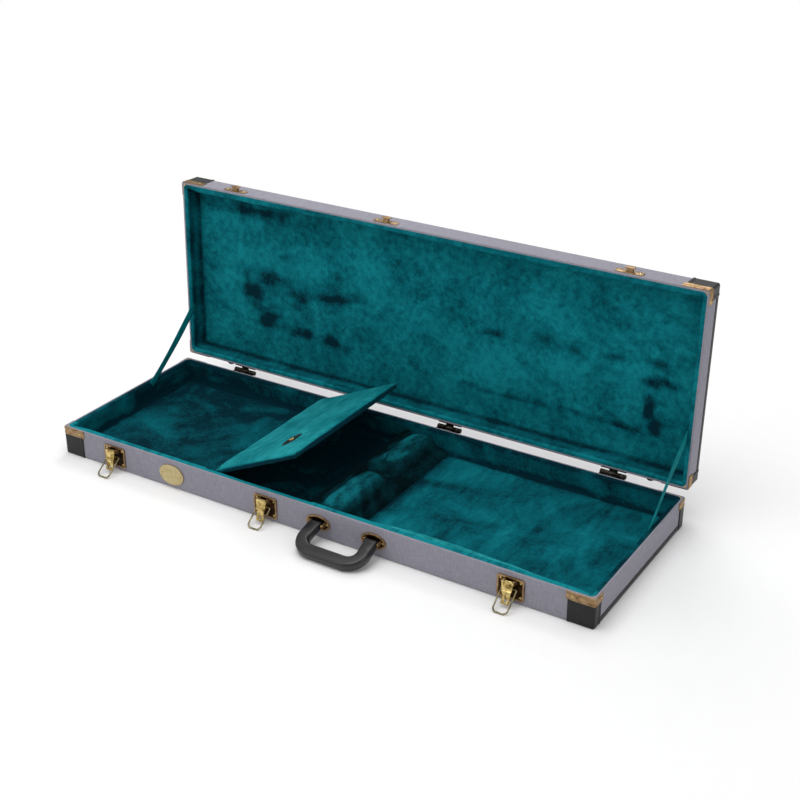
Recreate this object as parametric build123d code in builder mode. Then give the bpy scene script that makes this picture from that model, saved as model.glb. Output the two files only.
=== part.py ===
from build123d import *
import os
from math import acos, atan2, cos, degrees, hypot, radians, sin

# Hard case for an electric guitar, lying on its underside with the lid standing open.
# Origin at the middle of the underside, +X to the right, +Y to the hinges, +Z up, millimetres.
# Every piece of the lid is drawn where it lies on the closed case, on a plane that is then opened.

# Shell
LENGTH = 1030.0
WIDTH = 342.0
BASE_HEIGHT = 53.0
LID_DEPTH = 43.0
RIM_GAP = 0.4
CORNER_RADIUS = 3.0
CLOTH = 0.8
PLY = 5.2
PANEL = 5.0

# Lining
LINING = 4.0
FLOOR_PAD = 6.0
TOP_PAD = 6.0
RIM_REVEAL = 1.5
BAY_PAD_BULGE = 24.0
BAY_PAD_END = 3.0
BAY_PAD_PEAK_X = 240.0
PAD_EDGE = 4.0
SOFT_GAP = 0.3

# Neck rest
REST_LEFT = 6.0
REST_LENGTH = 78.0
REST_LEDGE = 14.0
REST_SHOULDER = 7.0
REST_CROWN = 1.0
GROOVE_DEPTH = 13.0
GROOVE_TOP = 54.0
GROOVE_BOTTOM = 22.0

# Accessory compartment
PANEL_HINGE_X = -187.0
PANEL_WIDTH = 186.0
PANEL_THICKNESS = 8.0
PANEL_BELOW_RIM = 2.0
PANEL_SEAT_GAP = 0.2
PANEL_END_GAP = 4.0
PANEL_OPEN = 25.0
PANEL_CORNER = 6.0
PANEL_ROUND = 3.0
PARTITION = 6.0
TAB_LENGTH = 46.0
TAB_WIDTH = 17.0
TAB_THICKNESS = 1.5
TAB_FROM_HINGE = 125.0
TAB_Y = -84.0
BUTTON_RADIUS = 5.5
BUTTON_HEIGHT = 2.5
BUTTON_ROUND = 2.0

# Lid hinges and spine feet
HINGE_REACH = 8.8
LID_OPEN = 91.8
HINGE_LEFT_INSET = 134.0
HINGE_MIDDLE_X = 71.0
HINGE_RIGHT_INSET = 130.0
HINGE_WIDTH = 46.0
HINGE_LEAF = 1.5
HINGE_LEAF_HEIGHT = 26.0
HINGE_WEB = 1.6
KNUCKLE_RADIUS = 4.2
KNUCKLE_MIDDLE = 15.4
KNUCKLE_GAP = 0.3
HINGE_PIN_RADIUS = 1.6
PIN_CLEARANCE = 0.05
PIN_GRIP = 0.01
LEAF_RIVETS_X = 32.0
LEAF_RIVETS_Z = 10.0
FOOT_LEFT_INSET = 85.0
FOOT_RIGHT_INSET = 72.0
FOOT_RADIUS = 7.5
FOOT_HEIGHT = 12.5
FOOT_ROUND = 5.0

# Corner hardware
CLAMP_HEIGHT = 14.5
CLAMP_FRONT_LEG = 46.0
CLAMP_SIDE_LEG = 24.0
CLAMP_METAL = 1.2
PATCH_FRONT_LEG = 43.0
PATCH_SIDE_LEG = 20.0
PATCH_LEATHER = 1.0
STRIP_HEIGHT = 10.5
STRIP_LEATHER = 0.8
RIVET_RADIUS = 2.0
RIVET_HEIGHT = 0.9
RIVET_INSET = 6.0
RIVET_FRONT_INSET = 36.0
RIVET_SIDE_INSET = 19.0

# Latches
LATCH_LEFT_INSET = 117.0
LATCH_MIDDLE_X = -73.0
LATCH_RIGHT_INSET = 136.0
LATCH_WIDTH = 46.0
LATCH_HEIGHT = 38.0
LATCH_BELOW_RIM = 8.0
LATCH_CORNER = 4.0
LATCH_PLATE = 1.5
LATCH_RIM = 2.6
LATCH_RIM_WIDTH = 3.0
LEVER_PIVOT_OUT = 7.6
LEVER_PIVOT_BELOW_RIM = 13.0
LEVER_PIN_RADIUS = 1.5
EAR_INNER = 8.4
EAR = 1.6
EAR_RADIUS = 3.0
EAR_NECK = 6.0
EAR_NECK_DROP = 1.5
CHEEK_OUTER = 8.0
CHEEK = 1.6
CAP_METAL = 1.6
CAP_TO_BAIL = 0.5
CAP_TOP_OUT = 11.0
CAP_FOOT_OUT = 12.8
CAP_RISE = 2.6
CAP_DROP = 14.0
BEAD_RADIUS = 2.0
THUMB_HALF = 7.0
THUMB_OUT = 17.8
THUMB_DROP = 20.0
THUMB_HOLE = 2.5
THUMB_HOLE_FROM_END = 6.5
BAIL_PIVOT_OUT = 4.6
BAIL_PIVOT_DROP = 13.0
BAIL_WIRE = 1.3
BAIL_WIDTH = 27.0
BAIL_LENGTH = 42.0
BAIL_CORNER = 7.0
BAIL_EYE_BEND = 2.0
FLOOR_CLEARANCE = 0.5

# Catches on the lid
CATCH_WIDTH = 48.0
CATCH_HEIGHT = 14.0
CATCH_PLATE = 1.5
CATCH_ARM_HALF = 5.5
CATCH_ARM = 5.0
CATCH_GAP = 0.3
LIP_GAP = 1.1
LIP_METAL = 1.8
LIP_HALF = 8.6
LIP_RISE = 5.0

# Handle
HANDLE_X = 84.5
HANDLE_SPACING = 105.0
HANDLE_BELOW_RIM = 25.0
HANDLE_OUT = 9.0
HANDLE_DROP = 51.0
HANDLE_HANG = 12.6
HANDLE_FLARE = 4.7
GRIP_WIDTH = 22.5
GRIP_THICKNESS = 17.0
GRIP_ROUND = 6.0
GRIP_CORNER = 24.0
GRIP_EYE_RADIUS = 6.6
GRIP_EYE_TAPER = 22.0
GRIP_EYE_RISE = 7.0
HANDLE_PIN_RADIUS = 2.0
HANDLE_PLATE_WIDTH = 46.0
HANDLE_PLATE_HEIGHT = 27.0
HANDLE_PLATE = 1.5
HANDLE_DISH = 3.0
HANDLE_DISH_WIDTH = 3.2
HANDLE_EAR_GAP = 1.2
HANDLE_EAR = 1.6
HANDLE_EAR_RADIUS = 3.6
HANDLE_RIVETS_APART = 34.5

# Badge
BADGE_LEFT_INSET = 244.0
BADGE_Z = 26.0
BADGE_WIDTH = 52.0
BADGE_HEIGHT = 38.0
BADGE_METAL = 1.6
BADGE_RIM = 2.4
BADGE_RIM_WIDTH = 2.4
BADGE_PIN_SPACING = 41.0
BADGE_PIN_RADIUS = 1.3

# Ribbon stays
STAY_WIDTH = 14.0
STAY_THICKNESS = 1.0
STAY_BASE_Y = 50.0
STAY_BASE_BELOW_RIM = 7.0
STAY_LID_Y = 72.0
STAY_LID_ABOVE_RIM = 6.0

# Places worked out from the sizes above
TOP = BASE_HEIGHT + RIM_GAP + LID_DEPTH
LID_RIM = BASE_HEIGHT + RIM_GAP
PLY_LENGTH = LENGTH - 2 * CLOTH
PLY_WIDTH = WIDTH - 2 * CLOTH
INNER_LENGTH = PLY_LENGTH - 2 * PLY
INNER_WIDTH = PLY_WIDTH - 2 * PLY
FLOOR = CLOTH + PANEL + FLOOR_PAD
BAY_LENGTH = INNER_LENGTH - 2 * LINING
BAY_WIDTH = INNER_WIDTH - 2 * LINING
LINING_TOP = BASE_HEIGHT - RIM_REVEAL
LINING_HEIGHT = LINING_TOP - FLOOR
HINGE_AXIS = (0.0, WIDTH / 2 + HINGE_REACH, BASE_HEIGHT + RIM_GAP / 2)
PANEL_HINGE_Z = BASE_HEIGHT - PANEL_BELOW_RIM - PANEL_THICKNESS
PANEL_AXIS = (PANEL_HINGE_X, 0.0, PANEL_HINGE_Z)
FRONT = WIDTH / 2
LEFT_END = -LENGTH / 2
RIGHT_END = LENGTH / 2
HINGE_POSITIONS = (LEFT_END + HINGE_LEFT_INSET, HINGE_MIDDLE_X, RIGHT_END - HINGE_RIGHT_INSET)
FOOT_POSITIONS = (LEFT_END + FOOT_LEFT_INSET, RIGHT_END - FOOT_RIGHT_INSET)
LATCH_POSITIONS = {
    "left": LEFT_END + LATCH_LEFT_INSET,
    "middle": LATCH_MIDDLE_X,
    "right": RIGHT_END - LATCH_RIGHT_INSET,
}
BADGE_X = LEFT_END + BADGE_LEFT_INSET
LATCH_Z = BASE_HEIGHT - LATCH_BELOW_RIM - LATCH_HEIGHT / 2
LEVER_PIVOT_Z = BASE_HEIGHT - LEVER_PIVOT_BELOW_RIM
BAIL_PIVOT_Z = LEVER_PIVOT_Z - BAIL_PIVOT_DROP
BAIL_REACH = BAIL_LENGTH - BAIL_WIRE
BAIL_REST = degrees(acos((BAIL_PIVOT_Z - BAIL_WIRE - FLOOR_CLEARANCE) / BAIL_REACH))
HANDLE_Z = BASE_HEIGHT - HANDLE_BELOW_RIM


def unmoved(plane):
    """The base's planes stay as they are drawn."""
    return plane


def turned(plane, pivot, about_x=0.0, about_y=0.0):
    """A plane turned about a line through the pivot, along X or along Y."""
    place = Location(pivot)
    turn = Location((0, 0, 0), (about_x, about_y, 0))
    return Plane(place * turn * place.inverse() * plane.location)


def opened(plane):
    """A plane of the closed lid, moved to where the open lid holds it."""
    return turned(plane, HINGE_AXIS, about_x=-LID_OPEN)


def lifted(plane):
    """A plane of the shut compartment lid, moved to where the open one holds it."""
    return turned(plane, PANEL_AXIS, about_y=-PANEL_OPEN)


def front_face(out=0.0):
    """The plane of the front cover, or one that stands out from it."""
    return Plane.XZ.offset(FRONT + out)


def across(x, out, z):
    """A plane square to X, through a point in front of the front cover."""
    return Plane(origin=(x, -FRONT - out, z), x_dir=(0, 1, 0), z_dir=(1, 0, 0))


def grip_low_point(angle):
    """Lowest height of the grip's bar when its legs stand at this angle from straight down."""
    down = cos(radians(angle))
    side = sin(radians(angle))
    corner = (GRIP_WIDTH / 2 - GRIP_ROUND) * down + (GRIP_THICKNESS / 2 - GRIP_ROUND) * side + GRIP_ROUND
    return HANDLE_Z - HANDLE_DROP * down - corner


HANDLE_REST = HANDLE_HANG
while grip_low_point(HANDLE_REST) < FLOOR_CLEARANCE:
    HANDLE_REST += 0.05

os.makedirs("parts", exist_ok=True)

# Shells: the base stands from the underside to its rim, the lid from its rim to the top
SHELLS = {
    "base": (unmoved, CLOTH, BASE_HEIGHT, 0.0, CLOTH),
    "lid": (opened, LID_RIM, TOP - CLOTH, TOP - CLOTH, TOP - CLOTH - PANEL),
}

for shell, (place, low, high, skin_z, panel_z) in SHELLS.items():
    # Plywood walls, butted: front and back run the full length, the ends stand between them
    for side, step in (("front", PLY), ("back", -PLY)):
        with BuildPart() as long_wall:
            with BuildSketch(place(Plane.XY.offset(low))):
                RectangleRounded(PLY_LENGTH, PLY_WIDTH, CORNER_RADIUS - CLOTH)
                with Locations((0, step)):
                    Rectangle(LENGTH, PLY_WIDTH, mode=Mode.SUBTRACT)
            extrude(amount=high - low)
        long_wall.part.label = f"{shell}_{side}_wall"
        export_step(long_wall.part, f"parts/{shell}_{side}_wall.step")

    for side, end in (("left", -1), ("right", 1)):
        with BuildPart() as end_wall:
            with BuildSketch(place(Plane.XY.offset(low))):
                with Locations((end * (PLY_LENGTH - PLY) / 2, 0)):
                    Rectangle(PLY, INNER_WIDTH)
            extrude(amount=high - low)
        end_wall.part.label = f"{shell}_{side}_wall"
        export_step(end_wall.part, f"parts/{shell}_{side}_wall.step")

    with BuildPart() as panel:
        with BuildSketch(place(Plane.XY.offset(panel_z))):
            Rectangle(INNER_LENGTH, INNER_WIDTH)
        extrude(amount=PANEL)
    panel_name = "base_bottom_panel" if shell == "base" else "lid_top_panel"
    panel.part.label = panel_name
    export_step(panel.part, f"parts/{panel_name}.step")

    # Woven cloth: a band round the walls and a sheet over the broad face
    with BuildPart() as side_cover:
        with BuildSketch(place(Plane.XY.offset(low))):
            RectangleRounded(LENGTH, WIDTH, CORNER_RADIUS)
            RectangleRounded(PLY_LENGTH, PLY_WIDTH, CORNER_RADIUS - CLOTH, mode=Mode.SUBTRACT)
        extrude(amount=high - low)
    side_cover.part.label = f"{shell}_side_cover"
    export_step(side_cover.part, f"parts/{shell}_side_cover.step")

    with BuildPart() as skin:
        with BuildSketch(place(Plane.XY.offset(skin_z))):
            RectangleRounded(LENGTH, WIDTH, CORNER_RADIUS)
        extrude(amount=CLOTH)
    skin_name = "base_bottom_cover" if shell == "base" else "lid_top_cover"
    skin.part.label = skin_name
    export_step(skin.part, f"parts/{skin_name}.step")

    # Corner hardware: brass clamps along the rim, leatherette patches from there to the far edge
    clamp_low = high - CLAMP_HEIGHT if shell == "base" else low
    patch_low, patch_high = (0.0, clamp_low) if shell == "base" else (low + CLAMP_HEIGHT, TOP)
    with BuildPart() as clamps:
        with BuildSketch(place(Plane.XY.offset(clamp_low))):
            RectangleRounded(LENGTH + 2 * CLAMP_METAL, WIDTH + 2 * CLAMP_METAL, CORNER_RADIUS + CLAMP_METAL)
            RectangleRounded(LENGTH, WIDTH, CORNER_RADIUS, mode=Mode.SUBTRACT)
            Rectangle(LENGTH - 2 * CLAMP_FRONT_LEG, WIDTH + 4 * CLAMP_METAL, mode=Mode.SUBTRACT)
            Rectangle(LENGTH + 4 * CLAMP_METAL, WIDTH - 2 * CLAMP_SIDE_LEG, mode=Mode.SUBTRACT)
        extrude(amount=CLAMP_HEIGHT)
    clamps.part.label = f"{shell}_corner_clamps"
    export_step(clamps.part, f"parts/{shell}_corner_clamps.step")

    with BuildPart() as patches:
        with BuildSketch(place(Plane.XY.offset(patch_low))):
            RectangleRounded(
                LENGTH + 2 * PATCH_LEATHER, WIDTH + 2 * PATCH_LEATHER, CORNER_RADIUS + PATCH_LEATHER)
            RectangleRounded(LENGTH, WIDTH, CORNER_RADIUS, mode=Mode.SUBTRACT)
            Rectangle(LENGTH - 2 * PATCH_FRONT_LEG, WIDTH + 4 * PATCH_LEATHER, mode=Mode.SUBTRACT)
            Rectangle(LENGTH + 4 * PATCH_LEATHER, WIDTH - 2 * PATCH_SIDE_LEG, mode=Mode.SUBTRACT)
        extrude(amount=patch_high - patch_low)
    patches.part.label = f"{shell}_corner_patches"
    export_step(patches.part, f"parts/{shell}_corner_patches.step")

    # Binding strips on the ends, between the patches
    strip_low = 0.0 if shell == "base" else TOP - STRIP_HEIGHT
    with BuildPart() as strips:
        with BuildSketch(place(Plane.XY.offset(strip_low))):
            with GridLocations(LENGTH + STRIP_LEATHER, 0, 2, 1):
                Rectangle(STRIP_LEATHER, WIDTH - 2 * PATCH_SIDE_LEG)
        extrude(amount=STRIP_HEIGHT)
    strips.part.label = f"{shell}_end_strips"
    export_step(strips.part, f"parts/{shell}_end_strips.step")

    # Rivets through the clamps' legs, then through the hinge leaves
    rivet_z = clamp_low + CLAMP_HEIGHT / 2
    leaf_middle = BASE_HEIGHT - HINGE_LEAF_HEIGHT / 2 if shell == "base" else low + HINGE_LEAF_HEIGHT / 2
    with BuildPart() as rivets:
        with BuildSketch(place(front_face(CLAMP_METAL))):
            with Locations((0, rivet_z)):
                with GridLocations(LENGTH - 2 * RIVET_FRONT_INSET, 0, 2, 1):
                    Circle(RIVET_RADIUS)
        extrude(amount=RIVET_HEIGHT)
        mirror(about=place(Plane.XZ))
        with BuildSketch(place(Plane.YZ.offset(LENGTH / 2 + CLAMP_METAL))):
            with Locations((0, rivet_z)):
                with GridLocations(WIDTH - 2 * RIVET_SIDE_INSET, 0, 2, 1):
                    Circle(RIVET_RADIUS)
        end_rivets = extrude(amount=RIVET_HEIGHT)
        mirror(end_rivets, about=Plane.YZ)
        with BuildSketch(place(Plane.XZ.offset(-FRONT - HINGE_LEAF))):
            for x in HINGE_POSITIONS:
                with Locations((x, leaf_middle)):
                    with GridLocations(LEAF_RIVETS_X, LEAF_RIVETS_Z, 2, 2):
                        Circle(RIVET_RADIUS)
        extrude(amount=-RIVET_HEIGHT)
    rivets.part.label = f"{shell}_rivets"
    export_step(rivets.part, f"parts/{shell}_rivets.step")

    # Thin plush on the four walls
    lining_low = FLOOR if shell == "base" else LID_RIM + RIM_REVEAL
    lining_high = LINING_TOP if shell == "base" else TOP - CLOTH - PANEL - TOP_PAD
    with BuildPart() as wall_lining:
        with BuildSketch(place(Plane.XY.offset(lining_low))):
            with GridLocations(0, INNER_WIDTH - LINING, 1, 2):
                Rectangle(INNER_LENGTH, LINING)
            with GridLocations(INNER_LENGTH - LINING, 0, 2, 1):
                Rectangle(LINING, BAY_WIDTH)
        extrude(amount=lining_high - lining_low)
    wall_lining.part.label = f"{shell}_wall_lining"
    export_step(wall_lining.part, f"parts/{shell}_wall_lining.step")

    # Domed feet, so that the case also stands on its spine clear of the hinges
    foot_z = BASE_HEIGHT / 2 if shell == "base" else (LID_RIM + TOP) / 2
    rearward = Axis((0, 0, 0), place(Plane.XZ).z_dir * -1)
    with BuildPart() as feet:
        with BuildSketch(place(Plane.XZ.offset(-FRONT))):
            for x in FOOT_POSITIONS:
                with Locations((x, foot_z)):
                    Circle(FOOT_RADIUS)
        extrude(amount=-FOOT_HEIGHT)
        fillet(feet.edges().group_by(rearward)[-1], FOOT_ROUND)
    feet.part.label = f"{shell}_spine_feet"
    export_step(feet.part, f"parts/{shell}_spine_feet.step")

# Plush pads that lie in the shells
with BuildPart() as base_floor_pad:
    with BuildSketch(Plane.XY.offset(CLOTH + PANEL)):
        Rectangle(INNER_LENGTH, INNER_WIDTH)
    extrude(amount=FLOOR_PAD)
base_floor_pad.part.label = "base_floor_pad"
export_step(base_floor_pad.part, "parts/base_floor_pad.step")

with BuildPart() as lid_top_pad:
    with BuildSketch(opened(Plane.XY.offset(TOP - CLOTH - PANEL))):
        Rectangle(INNER_LENGTH, INNER_WIDTH)
    extrude(amount=-TOP_PAD)
lid_top_pad.part.label = "lid_top_pad"
export_step(lid_top_pad.part, "parts/lid_top_pad.step")

# Crowned pad along the front of the body bay
rest_right = REST_LEFT + REST_LENGTH
bay_left = rest_right + SOFT_GAP
bay_right = BAY_LENGTH / 2 - SOFT_GAP
bay_front = -BAY_WIDTH / 2
with BuildPart() as body_bay_pad:
    with BuildSketch(Plane.XY.offset(FLOOR)):
        with BuildLine():
            Polyline(
                (bay_left, bay_front + BAY_PAD_END), (bay_left, bay_front),
                (bay_right, bay_front), (bay_right, bay_front + BAY_PAD_END))
            ThreePointArc(
                (bay_left, bay_front + BAY_PAD_END), (BAY_PAD_PEAK_X, bay_front + BAY_PAD_BULGE),
                (bay_right, bay_front + BAY_PAD_END))
        make_face()
    extrude(amount=LINING_HEIGHT)
    crest = body_bay_pad.faces().sort_by(Axis.Z)[-1].edges().sort_by(Axis.Y)[-1]
    fillet(crest, PAD_EDGE)
body_bay_pad.part.label = "body_bay_pad"
export_step(body_bay_pad.part, "parts/body_bay_pad.step")

# Neck rest: two crowned humps with the neck's groove between them, and a ledge for the compartment lid
ledge_z = PANEL_HINGE_Z - PANEL_SEAT_GAP
shoulder_z = LINING_TOP - REST_SHOULDER
crown_z = LINING_TOP + REST_CROWN
groove_z = crown_z - GROOVE_DEPTH
hump_half = BAY_WIDTH / 2 - SOFT_GAP
hump_middle = (hump_half + GROOVE_TOP / 2) / 2
with BuildPart() as neck_rest:
    with BuildSketch(Plane.XZ):
        with BuildLine():
            Polyline(
                (REST_LEFT, shoulder_z), (REST_LEFT, ledge_z), (REST_LEFT - REST_LEDGE, ledge_z),
                (REST_LEFT - REST_LEDGE, FLOOR), (rest_right, FLOOR), (rest_right, shoulder_z))
            ThreePointArc(
                (REST_LEFT, shoulder_z), ((REST_LEFT + rest_right) / 2, crown_z), (rest_right, shoulder_z))
        make_face()
    extrude(amount=hump_half, both=True)
    with BuildSketch(Plane.YZ.offset(REST_LEFT - REST_LEDGE)):
        with BuildLine():
            Polyline(
                (hump_half, shoulder_z), (hump_half, FLOOR), (-hump_half, FLOOR), (-hump_half, shoulder_z))
            ThreePointArc(
                (-hump_half, shoulder_z), (-hump_middle, crown_z), (-GROOVE_TOP / 2, shoulder_z + REST_CROWN))
            Polyline(
                (-GROOVE_TOP / 2, shoulder_z + REST_CROWN), (-GROOVE_BOTTOM / 2, groove_z),
                (GROOVE_BOTTOM / 2, groove_z), (GROOVE_TOP / 2, shoulder_z + REST_CROWN))
            ThreePointArc(
                (GROOVE_TOP / 2, shoulder_z + REST_CROWN), (hump_middle, crown_z), (hump_half, shoulder_z))
        make_face()
    extrude(amount=REST_LEDGE + REST_LENGTH, mode=Mode.INTERSECT)
neck_rest.part.label = "neck_rest"
export_step(neck_rest.part, "parts/neck_rest.step")

# Accessory compartment: a partition whose top corner carries the hinge edge of the padded lid,
# which is left square underneath so that it sits there, and the lid with its pull tab
with BuildPart() as compartment_partition:
    with BuildSketch(Plane.XY.offset(FLOOR)):
        with Locations((PANEL_HINGE_X - PARTITION / 2 - PANEL_SEAT_GAP, 0)):
            Rectangle(PARTITION, BAY_WIDTH - 2 * SOFT_GAP)
    extrude(amount=ledge_z - FLOOR)
compartment_partition.part.label = "compartment_partition"
export_step(compartment_partition.part, "parts/compartment_partition.step")

with BuildPart() as compartment_lid:
    with BuildSketch(lifted(Plane.XY.offset(PANEL_HINGE_Z))):
        with Locations((PANEL_HINGE_X + PANEL_WIDTH / 2, 0)):
            RectangleRounded(PANEL_WIDTH, BAY_WIDTH - 2 * PANEL_END_GAP, PANEL_CORNER)
    extrude(amount=PANEL_THICKNESS)
    upward = Axis((0, 0, 0), lifted(Plane.XY).z_dir)
    fillet(compartment_lid.edges().group_by(upward)[-1], PANEL_ROUND)
compartment_lid.part.label = "compartment_lid"
export_step(compartment_lid.part, "parts/compartment_lid.step")

panel_top = PANEL_HINGE_Z + PANEL_THICKNESS
with BuildPart() as pull_tab:
    with BuildSketch(lifted(Plane.XY.offset(panel_top))):
        with Locations((PANEL_HINGE_X + TAB_FROM_HINGE, TAB_Y)):
            SlotOverall(TAB_LENGTH, TAB_WIDTH, rotation=90)
    extrude(amount=TAB_THICKNESS)
pull_tab.part.label = "compartment_pull_tab"
export_step(pull_tab.part, "parts/compartment_pull_tab.step")

with BuildPart() as pull_button:
    with BuildSketch(lifted(Plane.XY.offset(panel_top + TAB_THICKNESS))):
        with Locations((PANEL_HINGE_X + TAB_FROM_HINGE, TAB_Y)):
            Circle(BUTTON_RADIUS)
    extrude(amount=BUTTON_HEIGHT)
    fillet(pull_button.edges().group_by(upward)[-1], BUTTON_ROUND)
pull_button.part.label = "compartment_pull_button"
export_step(pull_button.part, "parts/compartment_pull_button.step")

# Lid hinges: the base's leaves carry the two outer knuckles, the lid's the middle one
outer_knuckle = (HINGE_WIDTH - KNUCKLE_MIDDLE) / 2 - KNUCKLE_GAP
outer_offset = (HINGE_WIDTH - outer_knuckle) / 2
LEAVES = {
    "base": (unmoved, -1, BASE_HEIGHT, [-outer_offset, outer_offset], outer_knuckle, PIN_GRIP),
    "lid": (opened, 1, LID_RIM, [0.0], KNUCKLE_MIDDLE, PIN_CLEARANCE),
}
for shell, (place, away, rim, offsets, knuckle, fit) in LEAVES.items():
    with BuildPart() as leaves:
        for x in HINGE_POSITIONS:
            with BuildSketch(place(Plane.XZ.offset(-FRONT))):
                with Locations((x, rim + away * (HINGE_LEAF_HEIGHT + RIM_GAP) / 2)):
                    Rectangle(HINGE_WIDTH, HINGE_LEAF_HEIGHT)
            extrude(amount=-HINGE_LEAF)
            for offset_x in offsets:
                with BuildSketch(place(Plane.YZ.offset(x + offset_x))):
                    with Locations((FRONT + HINGE_REACH / 2, rim + away * (HINGE_WEB + RIM_GAP) / 2)):
                        Rectangle(HINGE_REACH, HINGE_WEB)
                    with Locations((HINGE_AXIS[1], HINGE_AXIS[2])):
                        Circle(KNUCKLE_RADIUS)
                        Circle(HINGE_PIN_RADIUS + fit, mode=Mode.SUBTRACT)
                extrude(amount=knuckle / 2, both=True)
    leaves.part.label = f"hinge_{shell}_leaves"
    export_step(leaves.part, f"parts/hinge_{shell}_leaves.step")

with BuildPart() as hinge_pins:
    for x in HINGE_POSITIONS:
        with BuildSketch(Plane.YZ.offset(x)):
            with Locations((HINGE_AXIS[1], HINGE_AXIS[2])):
                Circle(HINGE_PIN_RADIUS)
        extrude(amount=HINGE_WIDTH / 2, both=True)
hinge_pins.part.label = "hinge_pins"
export_step(hinge_pins.part, "parts/hinge_pins.step")

# Draw latches: plate with ears, lever with its cap and thumb tab, wire bail
for side, x in LATCH_POSITIONS.items():
    lever_pivot = (x, -FRONT - LEVER_PIVOT_OUT, LEVER_PIVOT_Z)
    bail_pivot = (x, -FRONT - BAIL_PIVOT_OUT, BAIL_PIVOT_Z)
    with BuildPart() as plate:
        with BuildSketch(front_face()):
            with Locations((x, LATCH_Z)):
                RectangleRounded(LATCH_WIDTH, LATCH_HEIGHT, LATCH_CORNER)
        extrude(amount=LATCH_PLATE)
        with BuildSketch(front_face()):
            with Locations((x, LATCH_Z)):
                RectangleRounded(LATCH_WIDTH, LATCH_HEIGHT, LATCH_CORNER)
                RectangleRounded(
                    LATCH_WIDTH - 2 * LATCH_RIM_WIDTH, LATCH_HEIGHT - 2 * LATCH_RIM_WIDTH,
                    LATCH_CORNER / 2, mode=Mode.SUBTRACT)
        extrude(amount=LATCH_RIM)
        with BuildSketch(across(x + EAR_INNER, LEVER_PIVOT_OUT, LEVER_PIVOT_Z)):
            Circle(EAR_RADIUS)
            with Locations(((LEVER_PIVOT_OUT - LATCH_PLATE) / 2, -EAR_NECK_DROP)):
                Rectangle(LEVER_PIVOT_OUT - LATCH_PLATE, EAR_NECK)
            Circle(LEVER_PIN_RADIUS + PIN_GRIP, mode=Mode.SUBTRACT)
        ear = extrude(amount=EAR)
        mirror(ear, about=Plane.YZ.offset(x))
    plate.part.label = f"latch_{side}_plate"
    export_step(plate.part, f"parts/latch_{side}_plate.step")

    # The lever is sketched on its pivot: local X points to the wall, local Y up.
    # Its cap flares to just inside the bail's arms, and passes over the ears' dropped necks.
    cap_top_half = BAIL_WIDTH / 2 - 2 * BAIL_WIRE - CAP_TO_BAIL
    cap_top = (-(CAP_TOP_OUT - LEVER_PIVOT_OUT), CAP_RISE)
    cap_foot = (-(CAP_FOOT_OUT - LEVER_PIVOT_OUT), -CAP_DROP)
    cap_lean = degrees(atan2(CAP_FOOT_OUT - CAP_TOP_OUT, CAP_RISE + CAP_DROP))
    cap_length = hypot(CAP_FOOT_OUT - CAP_TOP_OUT, CAP_RISE + CAP_DROP)
    thumb_lean = degrees(atan2(THUMB_OUT - CAP_FOOT_OUT, THUMB_DROP))
    thumb_length = hypot(THUMB_OUT - CAP_FOOT_OUT, THUMB_DROP)
    bail_eye = (LEVER_PIVOT_OUT - BAIL_PIVOT_OUT, -BAIL_PIVOT_DROP)
    with BuildPart() as lever:
        with BuildSketch(across(x + CHEEK_OUTER - CHEEK, LEVER_PIVOT_OUT, LEVER_PIVOT_Z)):
            with BuildLine():
                Polyline(
                    cap_top, cap_foot, (bail_eye[0], bail_eye[1] - CAP_RISE),
                    (bail_eye[0] + CAP_RISE, bail_eye[1]), (CAP_RISE, -CAP_RISE), (CAP_RISE, CAP_RISE),
                    close=True)
            make_face()
            Circle(LEVER_PIN_RADIUS + PIN_CLEARANCE, mode=Mode.SUBTRACT)
            with Locations(bail_eye):
                Circle(BAIL_WIRE + PIN_CLEARANCE, mode=Mode.SUBTRACT)
        cheek = extrude(amount=CHEEK)
        mirror(cheek, about=Plane.YZ.offset(x))
        cap_origin = (x, -FRONT - CAP_FOOT_OUT, LEVER_PIVOT_Z - CAP_DROP)
        cap_front = Plane(origin=cap_origin, x_dir=(1, 0, 0), z_dir=(0, -1, 0))
        with BuildSketch(turned(cap_front, cap_origin, -cap_lean)):
            with BuildLine():
                Polyline(
                    (-CHEEK_OUTER, 0), (CHEEK_OUTER, 0), (cap_top_half, cap_length),
                    (-cap_top_half, cap_length), close=True)
            make_face()
        extrude(amount=CAP_METAL)
        with BuildSketch(turned(cap_front, cap_origin, -thumb_lean)):
            with Locations((0, -thumb_length / 2)):
                Rectangle(2 * THUMB_HALF, thumb_length)
            with Locations((0, THUMB_HOLE_FROM_END - thumb_length)):
                Circle(THUMB_HOLE, mode=Mode.SUBTRACT)
        extrude(amount=CAP_METAL)
        with BuildSketch(across(x, CAP_FOOT_OUT + CAP_METAL, LEVER_PIVOT_Z - CAP_DROP)):
            Circle(BEAD_RADIUS)
        extrude(amount=CHEEK_OUTER, both=True)
    lever.part.label = f"latch_{side}_lever"
    export_step(lever.part, f"parts/latch_{side}_lever.step")

    # The bail is drawn hanging straight down, then swung out until it lies on the floor
    bail_plane = turned(Plane(origin=bail_pivot, x_dir=(1, 0, 0), z_dir=(0, -1, 0)), bail_pivot, -BAIL_REST)
    bail_half = BAIL_WIDTH / 2 - BAIL_WIRE
    eye_end = CHEEK_OUTER - CHEEK
    with BuildPart() as bail:
        with BuildLine(bail_plane) as wire:
            FilletPolyline(
                (-eye_end, 0), (-bail_half, 0), (-bail_half, -BAIL_REACH), (bail_half, -BAIL_REACH),
                (bail_half, 0), (eye_end, 0),
                radius=[BAIL_EYE_BEND, BAIL_CORNER, BAIL_CORNER, BAIL_EYE_BEND])
        with BuildSketch(Plane(origin=wire.line @ 0, z_dir=wire.line % 0)):
            Circle(BAIL_WIRE)
        sweep(path=wire.line)
    bail.part.label = f"latch_{side}_bail"
    export_step(bail.part, f"parts/latch_{side}_bail.step")

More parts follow.
